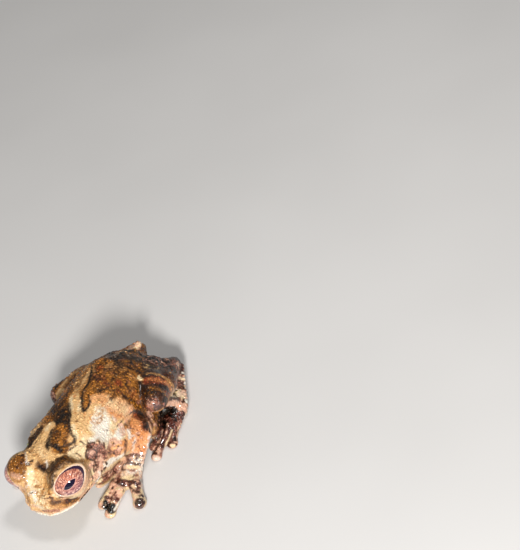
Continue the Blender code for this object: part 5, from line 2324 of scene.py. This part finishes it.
@dataclass(frozen=True)
class Lamp:
    """Round soft light that faces the animal, sizes in metres."""

    name: str
    direction: Point
    distance: float
    size: float
    power: float
    colour: Point

    def build(self) -> None:
        """Adds the light."""
        data = bpy.data.lights.new(self.name, "AREA")
        data.shape, data.size, data.energy, data.color = "DISK", self.size, self.power, self.colour
        lamp = placed(self.name, data)
        lamp.location = Vector(unit(self.direction) * self.distance)
        lamp.rotation_euler = Vector(unit(self.direction)).to_track_quat("Z", "Y").to_euler()


@dataclass(frozen=True)
class Studio:
    """Pale floor, soft lights and the photograph's viewpoint."""

    target: Point = (0.0, 0.0, 5.0)         # point of the animal seen at a known pixel
    target_pixel: Point = (97.0, 425.0)
    frame: Point = (520.0, 550.0)
    pixel: float = 0.138                     # millimetres a pixel at the target
    distance: float = 185.0
    heading: Point = (-0.51, 0.86)           # direction of the snout in the image, right and down
    sensor: float = 36.0
    lamps: tuple[Lamp, ...] = (
        Lamp("key", (0.71, 0.50, 0.50), 0.32, 0.055, 1.6, (1.0, 0.975, 0.945)),
        Lamp("top", (-0.2, 0.29, 0.94), 0.36, 0.06, 0.35, (1.0, 0.98, 0.96)))
    sky: Point = (1.0, 0.98, 0.96, 1.0)
    sky_power: float = 0.22
    floor_half: float = 0.6
    floor_tones: tuple[Point, Point] = ((0.56, 0.557, 0.553), (0.6, 0.597, 0.593))

    def camera(self) -> None:
        """Sets the camera so that the target falls on its pixel."""
        back = unit(PHOTOGRAPHED)
        fore = unit(np.array((1.0, 0, 0)) - back * back[0])
        side = np.cross(back, fore)
        a = unit(self.heading)
        right = a[0] * fore + a[1] * side
        up = -a[1] * fore + a[0] * side
        data = bpy.data.cameras.new("camera")
        data.sensor_fit, data.sensor_width = "HORIZONTAL", self.sensor
        data.lens = self.sensor / 2 * self.distance / (self.pixel * self.frame[0] / 2)
        data.clip_start, data.clip_end = 0.01, 10.0
        off = np.array((self.target_pixel[0] - self.frame[0] / 2, self.frame[1] / 2 - self.target_pixel[1]))
        off = off * self.pixel / self.distance
        ray = Vector((off[0], off[1], -1)).normalized()
        base = Matrix(np.stack((right, up, back), axis=1).tolist())
        turned = base @ Vector((0, 0, -1)).rotation_difference(ray).to_matrix().inverted()
        place = (np.array(self.target) + ORIGIN) * MM
        length = self.distance * MM * math.sqrt(1 + off @ off)
        camera = placed("camera", data)
        camera.matrix_world = Matrix.Translation(Vector(place) - (turned @ ray) * length) @ turned.to_4x4()
        bpy.context.scene.camera = camera

    def floor(self) -> Object:
        """Lays the floor.

        Returns:
            Nothing; the floor is marked as backdrop.
        """
        corners = np.array(((-1, -1, 0), (1, -1, 0), (1, 1, 0), (-1, 1, 0))) * self.floor_half
        floor = mesh_object("floor", corners, [(0, 1, 2, 3)])
        g = Shading("floor_paint")
        tone = g.noise(g.coordinates(), 40.0).step(0.2, 0.8)
        colour = g.tint(tone, *self.floor_tones)
        floor.data.materials.append(g.finished({"Base Color": colour, "Roughness": 0.7}))
        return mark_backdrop(floor)

    def build(self) -> None:
        """Sets up camera, floor, lights and sky."""
        self.camera()
        self.floor()
        for lamp in self.lamps:
            lamp.build()
        world = bpy.data.worlds.new("studio")
        world.use_nodes = True
        sky = world.node_tree.nodes["Background"].inputs
        sky["Color"].default_value, sky["Strength"].default_value = self.sky, self.sky_power
        scene = bpy.context.scene
        scene.world = world
        scene.view_settings.view_transform = "Standard"


def main() -> None:
    """Builds the frog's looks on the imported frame."""
    logging.basicConfig(level=logging.INFO, format="%(name)s: %(message)s")
    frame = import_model()
    frog = Frog()
    skin = Skin(frog, Coat(frog), voxel=0.15)
    piece = skin.build()
    flesh = [name for name in frame["nodes"] if not name.startswith("eye_")]
    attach(piece, "root")
    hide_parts(*flesh)
    LOG.info("skin: %d faces", len(piece.data.polygons))
    grains = Grains().build(piece)
    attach(grains, "root")
    LOG.info("grains: %d faces", len(grains.data.polygons))
    material = EyeFinish().material()
    for side in Side:
        eye = Eye(frog, side, material).build()
        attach(eye, "root")
        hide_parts("eye_" + side.word)
        LOG.info("%s: %d faces", eye.name, len(eye.data.polygons))
    Studio().build()


if __name__ == "__main__":
    main()
